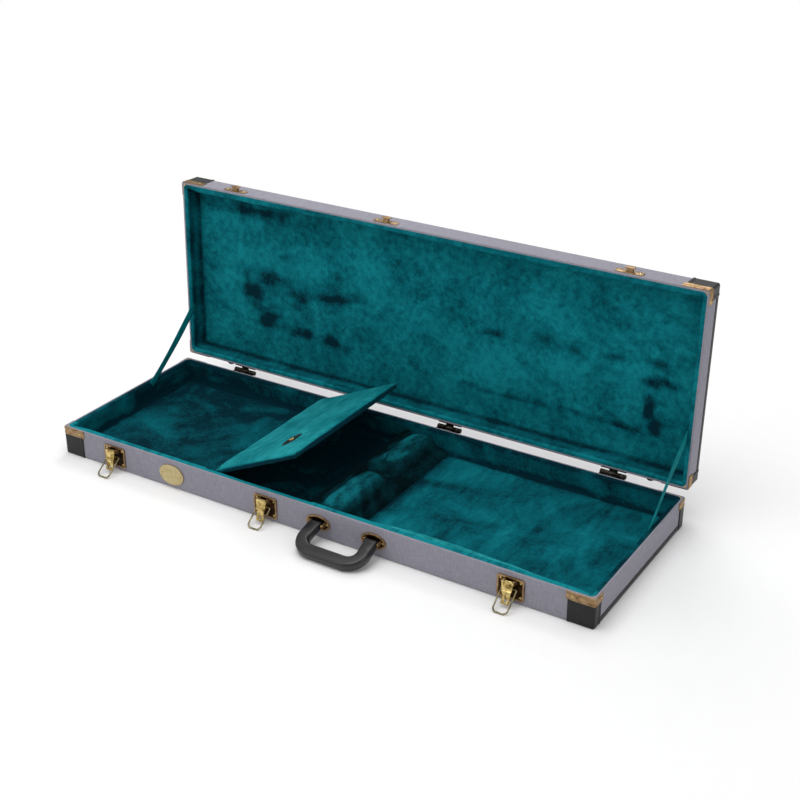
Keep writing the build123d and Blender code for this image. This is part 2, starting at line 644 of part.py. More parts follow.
with BuildPart() as latch_pivot_pins:
    for x in LATCH_POSITIONS.values():
        with BuildSketch(across(x, LEVER_PIVOT_OUT, LEVER_PIVOT_Z)):
            Circle(LEVER_PIN_RADIUS)
        extrude(amount=EAR_INNER + EAR, both=True)
latch_pivot_pins.part.label = "latch_pivot_pins"
export_step(latch_pivot_pins.part, "parts/latch_pivot_pins.step")

with BuildPart() as latch_rivets:
    with BuildSketch(front_face(LATCH_PLATE)):
        for x in LATCH_POSITIONS.values():
            with Locations((x, LATCH_Z)):
                with GridLocations(LATCH_WIDTH - 2 * RIVET_INSET, LATCH_HEIGHT - 2 * RIVET_INSET, 2, 2):
                    Circle(RIVET_RADIUS)
    extrude(amount=RIVET_HEIGHT)
latch_rivets.part.label = "latch_rivets"
export_step(latch_rivets.part, "parts/latch_rivets.step")

# Catches on the lid: the bail's loop drops behind the lip and rests on the arm
seat_z = BAIL_PIVOT_Z + BAIL_REACH - BAIL_WIRE - CATCH_GAP
catch_z = seat_z - CATCH_ARM / 2
lip_out = BAIL_PIVOT_OUT + BAIL_WIRE + LIP_GAP
with BuildPart() as catches:
    for x in LATCH_POSITIONS.values():
        with BuildSketch(opened(front_face())):
            with Locations((x, catch_z)):
                RectangleRounded(CATCH_WIDTH, CATCH_HEIGHT, LATCH_CORNER)
        extrude(amount=CATCH_PLATE)
        with BuildSketch(opened(front_face())):
            with Locations((x, catch_z)):
                Rectangle(2 * CATCH_ARM_HALF, CATCH_ARM)
        extrude(amount=lip_out + LIP_METAL)
        with BuildSketch(opened(front_face(lip_out))):
            with Locations((x, catch_z)):
                Rectangle(2 * LIP_HALF, CATCH_ARM)
            with Locations((x, catch_z + CATCH_ARM / 2)):
                Ellipse(LIP_HALF, LIP_RISE)
        extrude(amount=LIP_METAL)
catches.part.label = "catches"
export_step(catches.part, "parts/catches.step")

with BuildPart() as catch_rivets:
    with BuildSketch(opened(front_face(CATCH_PLATE))):
        for x in LATCH_POSITIONS.values():
            with Locations((x, catch_z)):
                with GridLocations(CATCH_WIDTH - 2 * RIVET_INSET, 0, 2, 1):
                    Circle(RIVET_RADIUS)
    extrude(amount=RIVET_HEIGHT)
catch_rivets.part.label = "catch_rivets"
export_step(catch_rivets.part, "parts/catch_rivets.step")

# Handle: oval dished plates with ears, and a moulded grip that hangs from them
plate_positions = (HANDLE_X - HANDLE_SPACING / 2, HANDLE_X + HANDLE_SPACING / 2)
ear_inner = GRIP_WIDTH / 2 + HANDLE_EAR_GAP
for side, x in zip(("left", "right"), plate_positions):
    with BuildPart() as plate:
        with BuildSketch(front_face()):
            with Locations((x, HANDLE_Z)):
                Ellipse(HANDLE_PLATE_WIDTH / 2, HANDLE_PLATE_HEIGHT / 2)
        extrude(amount=HANDLE_PLATE)
        with BuildSketch(front_face()):
            with Locations((x, HANDLE_Z)):
                Ellipse(HANDLE_PLATE_WIDTH / 2, HANDLE_PLATE_HEIGHT / 2)
                Ellipse(
                    HANDLE_PLATE_WIDTH / 2 - HANDLE_DISH_WIDTH, HANDLE_PLATE_HEIGHT / 2 - HANDLE_DISH_WIDTH,
                    mode=Mode.SUBTRACT)
        extrude(amount=HANDLE_DISH)
        with BuildSketch(across(x + ear_inner, HANDLE_OUT, HANDLE_Z)):
            Circle(HANDLE_EAR_RADIUS)
            with Locations(((HANDLE_OUT - HANDLE_PLATE) / 2, 0)):
                Rectangle(HANDLE_OUT - HANDLE_PLATE, 2 * HANDLE_EAR_RADIUS)
            Circle(HANDLE_PIN_RADIUS + PIN_GRIP, mode=Mode.SUBTRACT)
        ear = extrude(amount=HANDLE_EAR)
        mirror(ear, about=Plane.YZ.offset(x))
    plate.part.label = f"handle_{side}_plate"
    export_step(plate.part, f"parts/handle_{side}_plate.step")

handle_pivot = (HANDLE_X, -FRONT - HANDLE_OUT, HANDLE_Z)
grip_plane = turned(Plane(origin=handle_pivot, x_dir=(1, 0, 0), z_dir=(0, -1, 0)), handle_pivot, -HANDLE_REST)
grip_side = turned(across(HANDLE_X, HANDLE_OUT, HANDLE_Z), handle_pivot, -HANDLE_REST)
leg_top = HANDLE_SPACING / 2
leg_foot = leg_top + HANDLE_FLARE
with BuildPart() as handle_grip:
    with BuildSketch(grip_plane):
        with BuildLine():
            FilletPolyline(
                (-leg_top, GRIP_EYE_RISE), (-leg_foot, -HANDLE_DROP), (leg_foot, -HANDLE_DROP),
                (leg_top, GRIP_EYE_RISE), radius=GRIP_CORNER)
        trace(line_width=GRIP_WIDTH)
    extrude(amount=GRIP_THICKNESS / 2, both=True)
    fillet(handle_grip.faces().sort_by(SortBy.AREA)[-2:].edges(), GRIP_ROUND)
    with BuildSketch(grip_side):
        Circle(GRIP_EYE_RADIUS)
        with BuildLine():
            Polyline(
                (-GRIP_EYE_RADIUS, 0), (-GRIP_THICKNESS / 2, -GRIP_EYE_TAPER),
                (-GRIP_THICKNESS / 2, -HANDLE_DROP - GRIP_WIDTH),
                (GRIP_THICKNESS / 2, -HANDLE_DROP - GRIP_WIDTH),
                (GRIP_THICKNESS / 2, -GRIP_EYE_TAPER), (GRIP_EYE_RADIUS, 0), close=True)
        make_face()
    extrude(amount=leg_foot + GRIP_WIDTH, both=True, mode=Mode.INTERSECT)
    with BuildSketch(grip_side):
        Circle(HANDLE_PIN_RADIUS + PIN_CLEARANCE)
    extrude(amount=leg_foot + GRIP_WIDTH, both=True, mode=Mode.SUBTRACT)
handle_grip.part.label = "handle_grip"
export_step(handle_grip.part, "parts/handle_grip.step")

with BuildPart() as handle_pins:
    for x in plate_positions:
        with BuildSketch(across(x, HANDLE_OUT, HANDLE_Z)):
            Circle(HANDLE_PIN_RADIUS)
        extrude(amount=ear_inner + HANDLE_EAR, both=True)
handle_pins.part.label = "handle_pins"
export_step(handle_pins.part, "parts/handle_pins.step")

with BuildPart() as handle_rivets:
    with BuildSketch(front_face(HANDLE_PLATE)):
        for x in plate_positions:
            with Locations((x, HANDLE_Z)):
                with GridLocations(HANDLE_RIVETS_APART, 0, 2, 1):
                    Circle(RIVET_RADIUS)
    extrude(amount=RIVET_HEIGHT)
handle_rivets.part.label = "handle_rivets"
export_step(handle_rivets.part, "parts/handle_rivets.step")

# Badge: a bare oval plate with a raised rim and a pin at each end
with BuildPart() as badge_plate:
    with BuildSketch(front_face()):
        with Locations((BADGE_X, BADGE_Z)):
            Ellipse(BADGE_WIDTH / 2, BADGE_HEIGHT / 2)
    extrude(amount=BADGE_METAL)
    with BuildSketch(front_face()):
        with Locations((BADGE_X, BADGE_Z)):
            Ellipse(BADGE_WIDTH / 2, BADGE_HEIGHT / 2)
            Ellipse(
                BADGE_WIDTH / 2 - BADGE_RIM_WIDTH, BADGE_HEIGHT / 2 - BADGE_RIM_WIDTH, mode=Mode.SUBTRACT)
    extrude(amount=BADGE_RIM)
badge_plate.part.label = "badge_plate"
export_step(badge_plate.part, "parts/badge_plate.step")

with BuildPart() as badge_pins:
    with BuildSketch(front_face(BADGE_METAL)):
        with Locations((BADGE_X, BADGE_Z)):
            with GridLocations(BADGE_PIN_SPACING, 0, 2, 1):
                Circle(BADGE_PIN_RADIUS)
    extrude(amount=RIVET_HEIGHT)
badge_pins.part.label = "badge_pins"
export_step(badge_pins.part, "parts/badge_pins.step")

# Ribbon stays, flat against the end linings from the base's rim to the open lid's
lid_anchor = opened(Plane(origin=(0, STAY_LID_Y, LID_RIM + STAY_LID_ABOVE_RIM))).origin
stay_rise = lid_anchor.Z - (BASE_HEIGHT - STAY_BASE_BELOW_RIM)
stay_run = lid_anchor.Y - STAY_BASE_Y
stay_length = hypot(stay_run, stay_rise)
stay_lean = degrees(atan2(stay_rise, stay_run))
stay_inner = BAY_LENGTH / 2 - SOFT_GAP - STAY_THICKNESS
for side, start in (("left", -stay_inner - STAY_THICKNESS), ("right", stay_inner)):
    with BuildPart() as stay:
        with BuildSketch(Plane.YZ.offset(start)):
            with Locations((STAY_BASE_Y + stay_run / 2, BASE_HEIGHT - STAY_BASE_BELOW_RIM + stay_rise / 2)):
                Rectangle(stay_length, STAY_WIDTH, rotation=stay_lean)
        extrude(amount=STAY_THICKNESS)
    stay.part.label = f"stay_{side}"
    export_step(stay.part, f"parts/stay_{side}.step")

print(f"Ribbon stays: {stay_length:.1f} mm long, {STAY_WIDTH:.0f} mm wide")
print(f"Handle stands {HANDLE_REST:.2f} degrees out of straight down, the bails {BAIL_REST:.2f}")
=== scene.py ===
"""Hard case for an electric guitar, open on its ribbon stays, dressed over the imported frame."""
from math import cos, exp, hypot, pi, radians, sin, sqrt

import bmesh
import bpy
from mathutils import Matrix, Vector, noise


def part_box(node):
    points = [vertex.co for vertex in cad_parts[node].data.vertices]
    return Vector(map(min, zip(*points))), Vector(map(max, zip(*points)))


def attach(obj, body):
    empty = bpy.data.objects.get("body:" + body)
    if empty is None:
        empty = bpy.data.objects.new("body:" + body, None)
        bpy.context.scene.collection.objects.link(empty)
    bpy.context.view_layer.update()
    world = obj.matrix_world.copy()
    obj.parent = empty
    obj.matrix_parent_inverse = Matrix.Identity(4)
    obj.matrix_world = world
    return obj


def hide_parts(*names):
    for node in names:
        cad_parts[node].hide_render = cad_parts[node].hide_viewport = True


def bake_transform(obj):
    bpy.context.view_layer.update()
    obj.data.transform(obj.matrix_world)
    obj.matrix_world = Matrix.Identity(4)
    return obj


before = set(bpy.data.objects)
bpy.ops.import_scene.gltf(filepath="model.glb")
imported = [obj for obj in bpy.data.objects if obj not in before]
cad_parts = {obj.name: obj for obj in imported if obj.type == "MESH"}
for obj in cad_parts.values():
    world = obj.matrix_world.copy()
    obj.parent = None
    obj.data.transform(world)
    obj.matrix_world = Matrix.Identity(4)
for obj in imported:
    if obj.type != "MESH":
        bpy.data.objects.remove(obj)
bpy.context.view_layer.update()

bl_info = {
    "name": "Electric Guitar Case",
    "version": (1, 0, 0),
    "blender": (4, 5, 0),
    "location": "View3D > Sidebar > Guitar Case",
    "description": "Covers, plush, leatherette and brass for a hard guitar case, piece by piece",
    "category": "Object",
}

MM = 0.001

# The case's own sizes in millimetres, as the frame has them
LENGTH, WIDTH = 1030.0, 342.0
HALF_X, HALF_Y = LENGTH / 2, WIDTH / 2
BASE_RIM, LID_RIM_DEPTH, TOP = 53.0, 43.0, 96.4
INNER_X, INNER_Y = 509.0, 165.0
FLOOR = 11.8
HINGE_Y, HINGE_Z, LID_OPEN = 179.8, 53.2, 91.8
PANEL_X, PANEL_Z, PANEL_OPEN = -187.0, 43.0, 25.0
PANEL_WIDTH, PANEL_HALF_Y, PANEL_THICK = 186.0, 157.0, 8.0
CLAMP_TALL = 14.5
CLAMP_LEGS, PATCH_LEGS = (46.0, 24.0), (43.0, 20.0)
REST_LEDGE_Z, REST_CROWN_Z = 42.3, 49.5
LATCHES = {"left": -398.0, "middle": -73.0, "right": 379.0}
HINGES = (-381.0, 71.0, 385.0)
HANDLE_PLATES = {"left": 32.0, "right": 137.0}
BADGE_X = -271.0
PLATE_Y = -172.5
REST_X = (-8.0, 84.0)
SOFT_HALF_Y = 160.6
BAY_X, BAY_CROWN_X, BAY_BACK_Y = (85.0, 504.0), 240.0, -164.6
TAB_X, TAB_Y = 125.0, -84.0
CLOTH_HINGE_LONG = 308.0
RIBBON_WIDE, RIBBON_X = 14.0, 504.2
STAY_LOW, STAY_HIGH = (0, 50.0, 46.0), (0, 189.4, 160.8)

# The stage, in metres and degrees
FLOOR_SIZE, FLOOR_STEPS = 12.0, 24
FADE_FROM, FADE_TO = 0.75, 1.25
CAMERA_AT = (1.1711, -1.7642, 1.2126)
CAMERA_TURN, CAMERA_TILT, CAMERA_LENS = 31.75, 26.31, 64.0
# Each lamp's name, place, target, width and watts
LAMPS = (
    ("overhead_softbox", (-0.2, -0.4, 2.6), (0.0, 0.0, 0.1), 2.0, 31.0),
    ("rear_softbox", (-0.6, 1.7, 2.0), (0.0, 0.3, 0.0), 1.2, 17.0),
    ("front_softbox", (-1.6, -2.2, 1.5), (0.0, 0.0, 0.15), 1.4, 9.0),
    ("side_softbox", (2.6, -0.6, 1.4), (0.0, 0.0, 0.15), 1.2, 6.0))


# Places

def base_place(x, y, h):
    """A point of the base, h above its underside."""
    return Vector((x, y, h))


def lid_place(x, y, h):
    """A point of the open lid, h in from its broad face."""
    turn = radians(LID_OPEN)
    run, rise = y - HINGE_Y, TOP - h - HINGE_Z
    return Vector((
        x, HINGE_Y + run * cos(turn) + rise * sin(turn), HINGE_Z - run * sin(turn) + rise * cos(turn)))


def panel_place(x, y, h):
    """A point of the compartment lid: x from its hinge, h above its underside."""
    turn = radians(PANEL_OPEN)
    return Vector((PANEL_X + x * cos(turn) - h * sin(turn), y, PANEL_Z + x * sin(turn) + h * cos(turn)))


def heading(place, x, y, h):
    """A direction in a shell's own measure, turned as the shell is."""
    return place(x, y, h) - place(0, 0, 0)


# Each shell's body, with the word its pieces are named by, its places and its depth
SHELLS = {"base": ("base", base_place, BASE_RIM), "case_lid": ("lid", lid_place, LID_RIM_DEPTH)}


# Colours and nodes

def linear(code):
    """An sRGB hex colour as linear red, green, blue and alpha."""
    channels = [int(code[i:i + 2], 16) / 255 for i in (1, 3, 5)]
    return tuple(c / 12.92 if c <= 0.04045 else ((c + 0.055) / 1.055) ** 2.4 for c in channels) + (1.0,)


def add(tree, kind, inputs=None, stops=(), **settings):
    """Adds a node with its settings and colour stops. Each input is a value or another node's socket."""
    made = tree.nodes.new(kind)
    for name, value in settings.items():
        setattr(made, name, value)
    for i, (place, colour) in enumerate(stops):
        stop = made.color_ramp.elements[i] if i < 2 else made.color_ramp.elements.new(place)
        stop.position, stop.color = place, colour
    for name, value in (inputs or {}).items():
        if isinstance(value, bpy.types.NodeSocket):
            tree.links.new(value, made.inputs[name])
        else:
            made.inputs[name].default_value = value
    return made


def grey(value):
    """A linear grey."""
    return (value, value, value, 1.0)


def new_material(name, **surface):
    """A material with its Principled shader set, and the tree, shader and object place to add to."""
    material = bpy.data.materials.new(name)
    material.use_nodes = True
    shader = material.node_tree.nodes["Principled BSDF"]
    for socket, value in surface.items():
        shader.inputs[socket.replace("_", " ")].default_value = value
    tree = material.node_tree
    return material, tree, shader, add(tree, "ShaderNodeTexCoord").outputs["Object"]


def drive(tree, shader, colour=None, rough=None, bump=None, strength=0.5, deep=0.3):
    """Links a pattern's colour, roughness and height to the shader; deep is the height in millimetres."""
    if colour is not None:
        tree.links.new(colour, shader.inputs["Base Color"])
    if rough is not None:
        tree.links.new(rough, shader.inputs["Roughness"])
    if bump is not None:
        raised = add(tree, "ShaderNodeBump", {"Height": bump, "Strength": strength, "Distance": deep * MM})
        tree.links.new(raised.outputs["Normal"], shader.inputs["Normal"])


def make_woven_cloth(colours):
    """Plain-woven polyester linen, glued on. Mixed grey and lilac yarns, so it looks heathered and matt.
    Yarns are 0.7 mm apart on the real cloth, less than half a pixel, so they are drawn at 2 mm."""
    material, tree, shader, where = new_material(
        "woven_cloth", Roughness=0.86, Sheen_Weight=0.08, Sheen_Roughness=0.5, IOR=1.46)
    uv = add(tree, "ShaderNodeUVMap", uv_map="cloth").outputs["UV"]
    yarn = 1 / 0.002
    along = add(tree, "ShaderNodeMapping", {"Vector": uv, "Scale": (yarn * 0.12, yarn, 1)})
    up = add(tree, "ShaderNodeMapping", {"Vector": uv, "Scale": (yarn, yarn * 0.12, 1)})
    weft = add(tree, "ShaderNodeTexNoise", {"Vector": along.outputs[0], "Scale": 1.0, "Detail": 1.0})
    warp = add(tree, "ShaderNodeTexNoise", {"Vector": up.outputs[0], "Scale": 1.0, "Detail": 1.0})
    over = add(tree, "ShaderNodeTexChecker", {"Vector": uv, "Scale": yarn})
    woven = add(tree, "ShaderNodeMix", {
        0: over.outputs["Fac"], 2: weft.outputs["Fac"], 3: warp.outputs["Fac"]})
    faded = add(tree, "ShaderNodeTexNoise", {"Vector": where, "Scale": 7.0, "Detail": 3.0})
    mixed = add(tree, "ShaderNodeValToRGB", {"Fac": woven.outputs[0]}, stops=(
        (0.30, linear(colours.cloth_dark)), (0.52, linear(colours.cloth)), (0.72, linear(colours.cloth_light))))
    dull = add(tree, "ShaderNodeMapRange", {"Value": faded.outputs["Fac"], "To Min": 0.90, "To Max": 1.08})
    toned = add(tree, "ShaderNodeMix", {
        0: 1.0, 6: mixed.outputs["Color"], 7: dull.outputs["Result"]}, data_type="RGBA", blend_type="MULTIPLY")
    drive(tree, shader, colour=toned.outputs[2], bump=woven.outputs[0], strength=0.22, deep=0.2)
    return material


def make_brushed_plush(name, dark, middle, light, shift):
    """Knitted plush pile 3 mm long. Where it is brushed one way it is pale, the other way nearly black,
    in soft patches 20 to 80 mm across; the tufts themselves are drawn at 2 to 6 mm. A stored point
    attribute says where hands and folds have laid it over, and also carries painted shade and painted
    light: darker in corners, creases and under things, paler on lips and tops."""
    material, tree, shader, where = new_material(
        name, Roughness=0.95, Sheen_Weight=0.12, Sheen_Roughness=0.4, Specular_IOR_Level=0.06,
        Sheen_Tint=linear(light))
    moved = add(tree, "ShaderNodeMapping", {"Vector": where, "Location": shift, "Rotation": (0.3, 0.5, 0.9)})
    lay = add(tree, "ShaderNodeTexNoise", {
        "Vector": moved.outputs[0], "Scale": 11.0, "Detail": 4.0, "Roughness": 0.62, "Distortion": 0.7})
    stroke = add(tree, "ShaderNodeMapping", {
        "Vector": where, "Rotation": (0.2, -0.4, 0.55), "Scale": (1.0, 0.28, 1.0)})
    brushed = add(tree, "ShaderNodeTexNoise", {
        "Vector": stroke.outputs[0], "Scale": 85.0, "Detail": 3.0, "Roughness": 0.6})
    tuft = add(tree, "ShaderNodeTexNoise", {"Vector": where, "Scale": 230.0, "Detail": 2.0})
    fine = add(tree, "ShaderNodeTexNoise", {"Vector": where, "Scale": 620.0, "Detail": 1.0})
    patches = add(tree, "ShaderNodeMapRange", {
        "Value": lay.outputs["Fac"], "From Min": 0.32, "From Max": 0.68, "To Min": 0.00, "To Max": 0.32})
    strokes = add(tree, "ShaderNodeMath", {
        0: brushed.outputs["Fac"], 1: 0.50, 2: patches.outputs["Result"]}, operation="MULTIPLY_ADD")
    tufts = add(tree, "ShaderNodeMath", {
        0: tuft.outputs["Fac"], 1: 0.27, 2: strokes.outputs[0]}, operation="MULTIPLY_ADD")
    # The stored attribute brings in the pile's lay together with painted shade and painted light: darker in
    # corners, creases and under things, paler on lips and tops.
    pile_lay_and_painted_shade = add(tree, "ShaderNodeAttribute", attribute_name="pile_lay_and_painted_shade", attribute_type="GEOMETRY")
    ragged = add(tree, "ShaderNodeMapRange", {
        "Value": brushed.outputs["Fac"], "From Min": 0.35, "From Max": 0.65, "To Min": 0.6, "To Max": 1.4})
    pressed = add(tree, "ShaderNodeMath", {
        0: pile_lay_and_painted_shade.outputs["Fac"], 1: ragged.outputs["Result"]}, operation="MULTIPLY")
    lain = add(tree, "ShaderNodeMath", {
        0: tufts.outputs[0], 1: pressed.outputs[0]}, operation="SUBTRACT")
    pile = add(tree, "ShaderNodeValToRGB", {"Fac": lain.outputs[0]}, stops=(
        (0.24, linear(dark)), (0.78, linear(light)), (0.50, linear(middle))))
    height = add(tree, "ShaderNodeMath", {
        0: fine.outputs["Fac"], 1: 0.35, 2: tufts.outputs[0]}, operation="MULTIPLY_ADD")
    drive(tree, shader, colour=pile.outputs["Color"], bump=height.outputs[0], strength=0.7, deep=1.5)
    return material


def make_plywood():
    """Birch plywood, cut and unsanded. It hides under cloth and plush, apart from bare edges."""
    material, tree, shader, where = new_material("birch_plywood", Roughness=0.7, IOR=1.5)
    grain = add(tree, "ShaderNodeMapping", {"Vector": where, "Scale": (12, 160, 160)})
    streak = add(tree, "ShaderNodeTexNoise", {"Vector": grain.outputs[0], "Scale": 2.0, "Detail": 5.0})
    wood = add(tree, "ShaderNodeValToRGB", {"Fac": streak.outputs["Fac"]}, stops=(
        (0.35, linear("#9c7a4e")), (0.65, linear("#d9bf94"))))
    drive(tree, shader, colour=wood.outputs["Color"], bump=streak.outputs["Fac"], strength=0.3)
    return material


def make_brass(name, bright, shadow, rough, tarnish, worn):
    """Stamped brass-plated steel. Tarnish gathers in cloudy patches 5 to 15 mm across, and the plating
    is rubbed brighter between them."""
    material, tree, shader, where = new_material(name, Metallic=1.0, Roughness=rough)
    cloud = add(tree, "ShaderNodeTexNoise", {
        "Vector": where, "Scale": 110.0, "Detail": 5.0, "Roughness": 0.6, "Distortion": 0.4})
    scuff = add(tree, "ShaderNodeTexNoise", {"Vector": where, "Scale": 900.0, "Detail": 2.0})
    plated = add(tree, "ShaderNodeValToRGB", {"Fac": cloud.outputs["Fac"]}, stops=(
        (0.30, linear(tarnish)), (0.78, linear(worn)), (0.50, linear(bright)), (0.40, linear(shadow))))
    matt = add(tree, "ShaderNodeMapRange", {
        "Value": cloud.outputs["Fac"], "To Min": rough + 0.14, "To Max": max(rough - 0.08, 0.05)})
    drive(tree, shader, colour=plated.outputs["Color"], rough=matt.outputs["Result"],
          bump=scuff.outputs["Fac"], strength=0.12, deep=0.15)
    return material


def make_leatherette(name, colour, edge, rough, grain_mm, deep):
    """Embossed vinyl on a cloth back: shallow pebbled grain with a soft shine on its crowns."""
    material, tree, shader, where = new_material(name, Roughness=rough, IOR=1.5, Specular_IOR_Level=0.3)
    pebble = add(tree, "ShaderNodeTexVoronoi", {"Vector": where, "Scale": 1000 / grain_mm, "Randomness": 0.9})
    crease = add(tree, "ShaderNodeTexNoise", {"Vector": where, "Scale": 60.0, "Detail": 4.0})
    height = add(tree, "ShaderNodeMath", {
        0: crease.outputs["Fac"], 1: 0.8, 2: pebble.outputs["Distance"]}, operation="MULTIPLY_ADD")
    skin = add(tree, "ShaderNodeValToRGB", {"Fac": crease.outputs["Fac"]}, stops=(
        (0.35, linear(colour)), (0.75, linear(edge))))
    shine = add(tree, "ShaderNodeMapRange", {
        "Value": crease.outputs["Fac"], "To Min": rough - 0.1, "To Max": rough + 0.15})
    drive(tree, shader, colour=skin.outputs["Color"], rough=shine.outputs["Result"],
          bump=height.outputs[0], strength=0.5, deep=deep)
    return material


def make_moulded_vinyl():
    """Moulded soft PVC with a fine spark-eroded texture: even dark grey and satin, rubbed a little on
    its crowns."""
    material, tree, shader, where = new_material("moulded_vinyl", Roughness=0.30, IOR=1.53)
    skin = add(tree, "ShaderNodeTexNoise", {"Vector": where, "Scale": 750.0, "Detail": 3.0})
    rubbed = add(tree, "ShaderNodeTexNoise", {"Vector": where, "Scale": 45.0, "Detail": 3.0})
    tone = add(tree, "ShaderNodeValToRGB", {"Fac": rubbed.outputs["Fac"]}, stops=(
        (0.3, linear("#0c0c0e")), (0.7, linear("#161618"))))
    satin = add(tree, "ShaderNodeMapRange", {"Value": rubbed.outputs["Fac"], "To Min": 0.24, "To Max": 0.38})
    drive(tree, shader, colour=tone.outputs["Color"], rough=satin.outputs["Result"],
          bump=skin.outputs["Fac"], strength=0.25, deep=0.2)
    return material


def make_ribbon():
    """Grosgrain ribbon: cross ribs 1.4 mm apart on the real one, drawn at 2 mm, with a dull shine."""
    material, tree, shader, where = new_material("grosgrain_ribbon", Roughness=0.8, Specular_IOR_Level=0.08)
    uv = add(tree, "ShaderNodeUVMap", uv_map="cloth").outputs["UV"]
    rib = 0.002
    ribs = add(tree, "ShaderNodeTexWave", {
        "Vector": uv, "Scale": 1 / rib / (2 * pi) * 2}, bands_direction="X")
    worn = add(tree, "ShaderNodeTexNoise", {"Vector": where, "Scale": 40.0, "Detail": 3.0})
    tone = add(tree, "ShaderNodeValToRGB", {"Fac": worn.outputs["Fac"]}, stops=(
        (0.3, linear("#04646a")), (0.7, linear("#0a8086"))))
    drive(tree, shader, colour=tone.outputs["Color"], bump=ribs.outputs["Fac"], strength=0.5, deep=0.3)
    return material


def make_thread():
    """Waxed polyester thread, black with a slight shine from the wax."""
    material, tree, shader, where = new_material("waxed_thread", Roughness=0.55, IOR=1.5)
    twist = add(tree, "ShaderNodeTexNoise", {"Vector": where, "Scale": 1400.0})
    tone = add(tree, "ShaderNodeValToRGB", {"Fac": twist.outputs["Fac"]}, stops=(
        (0.3, linear("#1a1a1c")), (0.7, linear("#4a4a4e"))))
    drive(tree, shader, colour=tone.outputs["Color"], bump=twist.outputs["Fac"], strength=0.5, deep=0.1)
    return material


MATERIALS = {}


def make_materials(colours):
    """Every finish of the case, once."""
    MATERIALS["cloth"] = make_woven_cloth(colours)
    MATERIALS["plush"] = make_brushed_plush(
        "brushed_plush", colours.plush_dark, colours.plush, colours.plush_light, (0.0, 0.0, 0.0))
    # A lighter copy of the plush, as painted light on lit tops: the compartment lid, the body bay's front pad
    # and the cloth hinge.
    MATERIALS["plush_painted_lit"] = make_brushed_plush(
        "brushed_plush_painted_lit", "#045a62", "#10757c", "#26939a", (0.31, 0.12, 0.05))
    # A darker copy of the plush, as painted shade on the neck rest and the partition.
    MATERIALS["plush_painted_shade"] = make_brushed_plush(
        "brushed_plush_painted_shade", "#001216", "#02343c", "#0b6670", (0.17, 0.43, 0.2))
    MATERIALS["plywood"] = make_plywood()
    MATERIALS["antique_brass"] = make_brass(
        "antique_brass", colours.brass, "#8a6e4c", 0.36, "#6a5136", "#b59a74")
    MATERIALS["bright_brass"] = make_brass(
        "bright_brass", "#c4aa6c", "#8f7a45", 0.20, "#6a5730", "#eedca4")
    MATERIALS["badge_brass"] = make_brass(
        "satin_brass", "#bfae82", "#b6a577", 0.30, "#ab996b", "#cbbc92")
    MATERIALS["wire_brass"] = make_brass(
        "drawn_brass_wire", "#8b8262", "#736b4f", 0.28, "#575038", "#b0a688")
    # A near-black brass for the floors of the plates' dishes: painted shade and a painted dark reflection.
    MATERIALS["brass_painted_shade"] = make_brass(
        "brass_with_painted_shade", "#2a1d0e", "#1a1208", 0.42, "#0d0904", "#5a4226")
    MATERIALS["leatherette"] = make_leatherette("embossed_leatherette", "#101011", "#1f1f21", 0.42, 1.6, 0.35)
    MATERIALS["leather"] = make_leatherette("black_leather", "#121213", "#242426", 0.38, 1.2, 0.25)
    MATERIALS["grip"] = make_moulded_vinyl()
    # A near-black finish for the dark steel hinge pins, and for the brass hinge leaves, where it is painted
    # shade in the gap between the shells.
    MATERIALS["steel_and_painted_shade"] = make_brass("blackened_steel", "#26231f", "#1a1816", 0.4, "#100f0e", "#4a453e")
    MATERIALS["rubber"] = make_leatherette("hard_rubber", "#101010", "#1f1f20", 0.45, 0.9, 0.08)
    MATERIALS["ribbon"] = make_ribbon()
    MATERIALS["thread"] = make_thread()


# Mesh helpers

def link(name, data):
    """A new object for a mesh, lamp or camera, in the scene."""
    made = bpy.data.objects.new(name, data)
    bpy.context.scene.collection.objects.link(made)
    return made


def modify(piece, kind, **settings):
    """Adds a modifier with its settings."""
    made = piece.modifiers.new(kind.lower(), kind)
    for name, value in settings.items():
        setattr(made, name, value)


def grid(rows, wide):
    """The quads between rows of points, each row wide points long."""
    return [(a, a + 1, a + wide + 1, a + wide)
            for row in range(rows - 1) for a in range(row * wide, (row + 1) * wide - 1)]


def new_piece(name, points, faces, finish, uvs=None, smooth=None, outward=True):
    """A mesh piece at the origin. Points are in millimetres; uvs, one for each face corner, in metres."""
    mesh = bpy.data.meshes.new(name)
    mesh.from_pydata([Vector(p) * MM for p in points], [], faces)
    if uvs is not None:
        layer = mesh.uv_layers.new(name="cloth")
        for loop, uv in zip(layer.data, uvs):
            loop.uv = uv
    if outward:
        shell = bmesh.new()
        shell.from_mesh(mesh)
        bmesh.ops.recalc_face_normals(shell, faces=shell.faces)
        shell.to_mesh(mesh)
        shell.free()
    piece = link(name, mesh)
    mesh.materials.append(MATERIALS[finish])
    shade(piece, smooth)
    return piece


def shade(piece, angle):
    """Smooth shading, broken at edges sharper than the angle in degrees."""
    piece.data.shade_smooth()
    if angle is not None:
        piece.data.set_sharp_from_angle(angle=radians(angle))


def settle(piece, body, replaced=()):
    """Hands a finished piece to the frame."""
    if replaced:
        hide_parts(*replaced)
    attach(piece, body)
    return piece


def flatten(piece):
    """Applies the piece's modifiers to its mesh."""
    bpy.context.view_layer.update()
    done = piece.evaluated_get(bpy.context.evaluated_depsgraph_get())
    mesh = bpy.data.meshes.new_from_object(done)
    mesh.name = piece.name
    piece.modifiers.clear()
    piece.data = mesh
    return piece


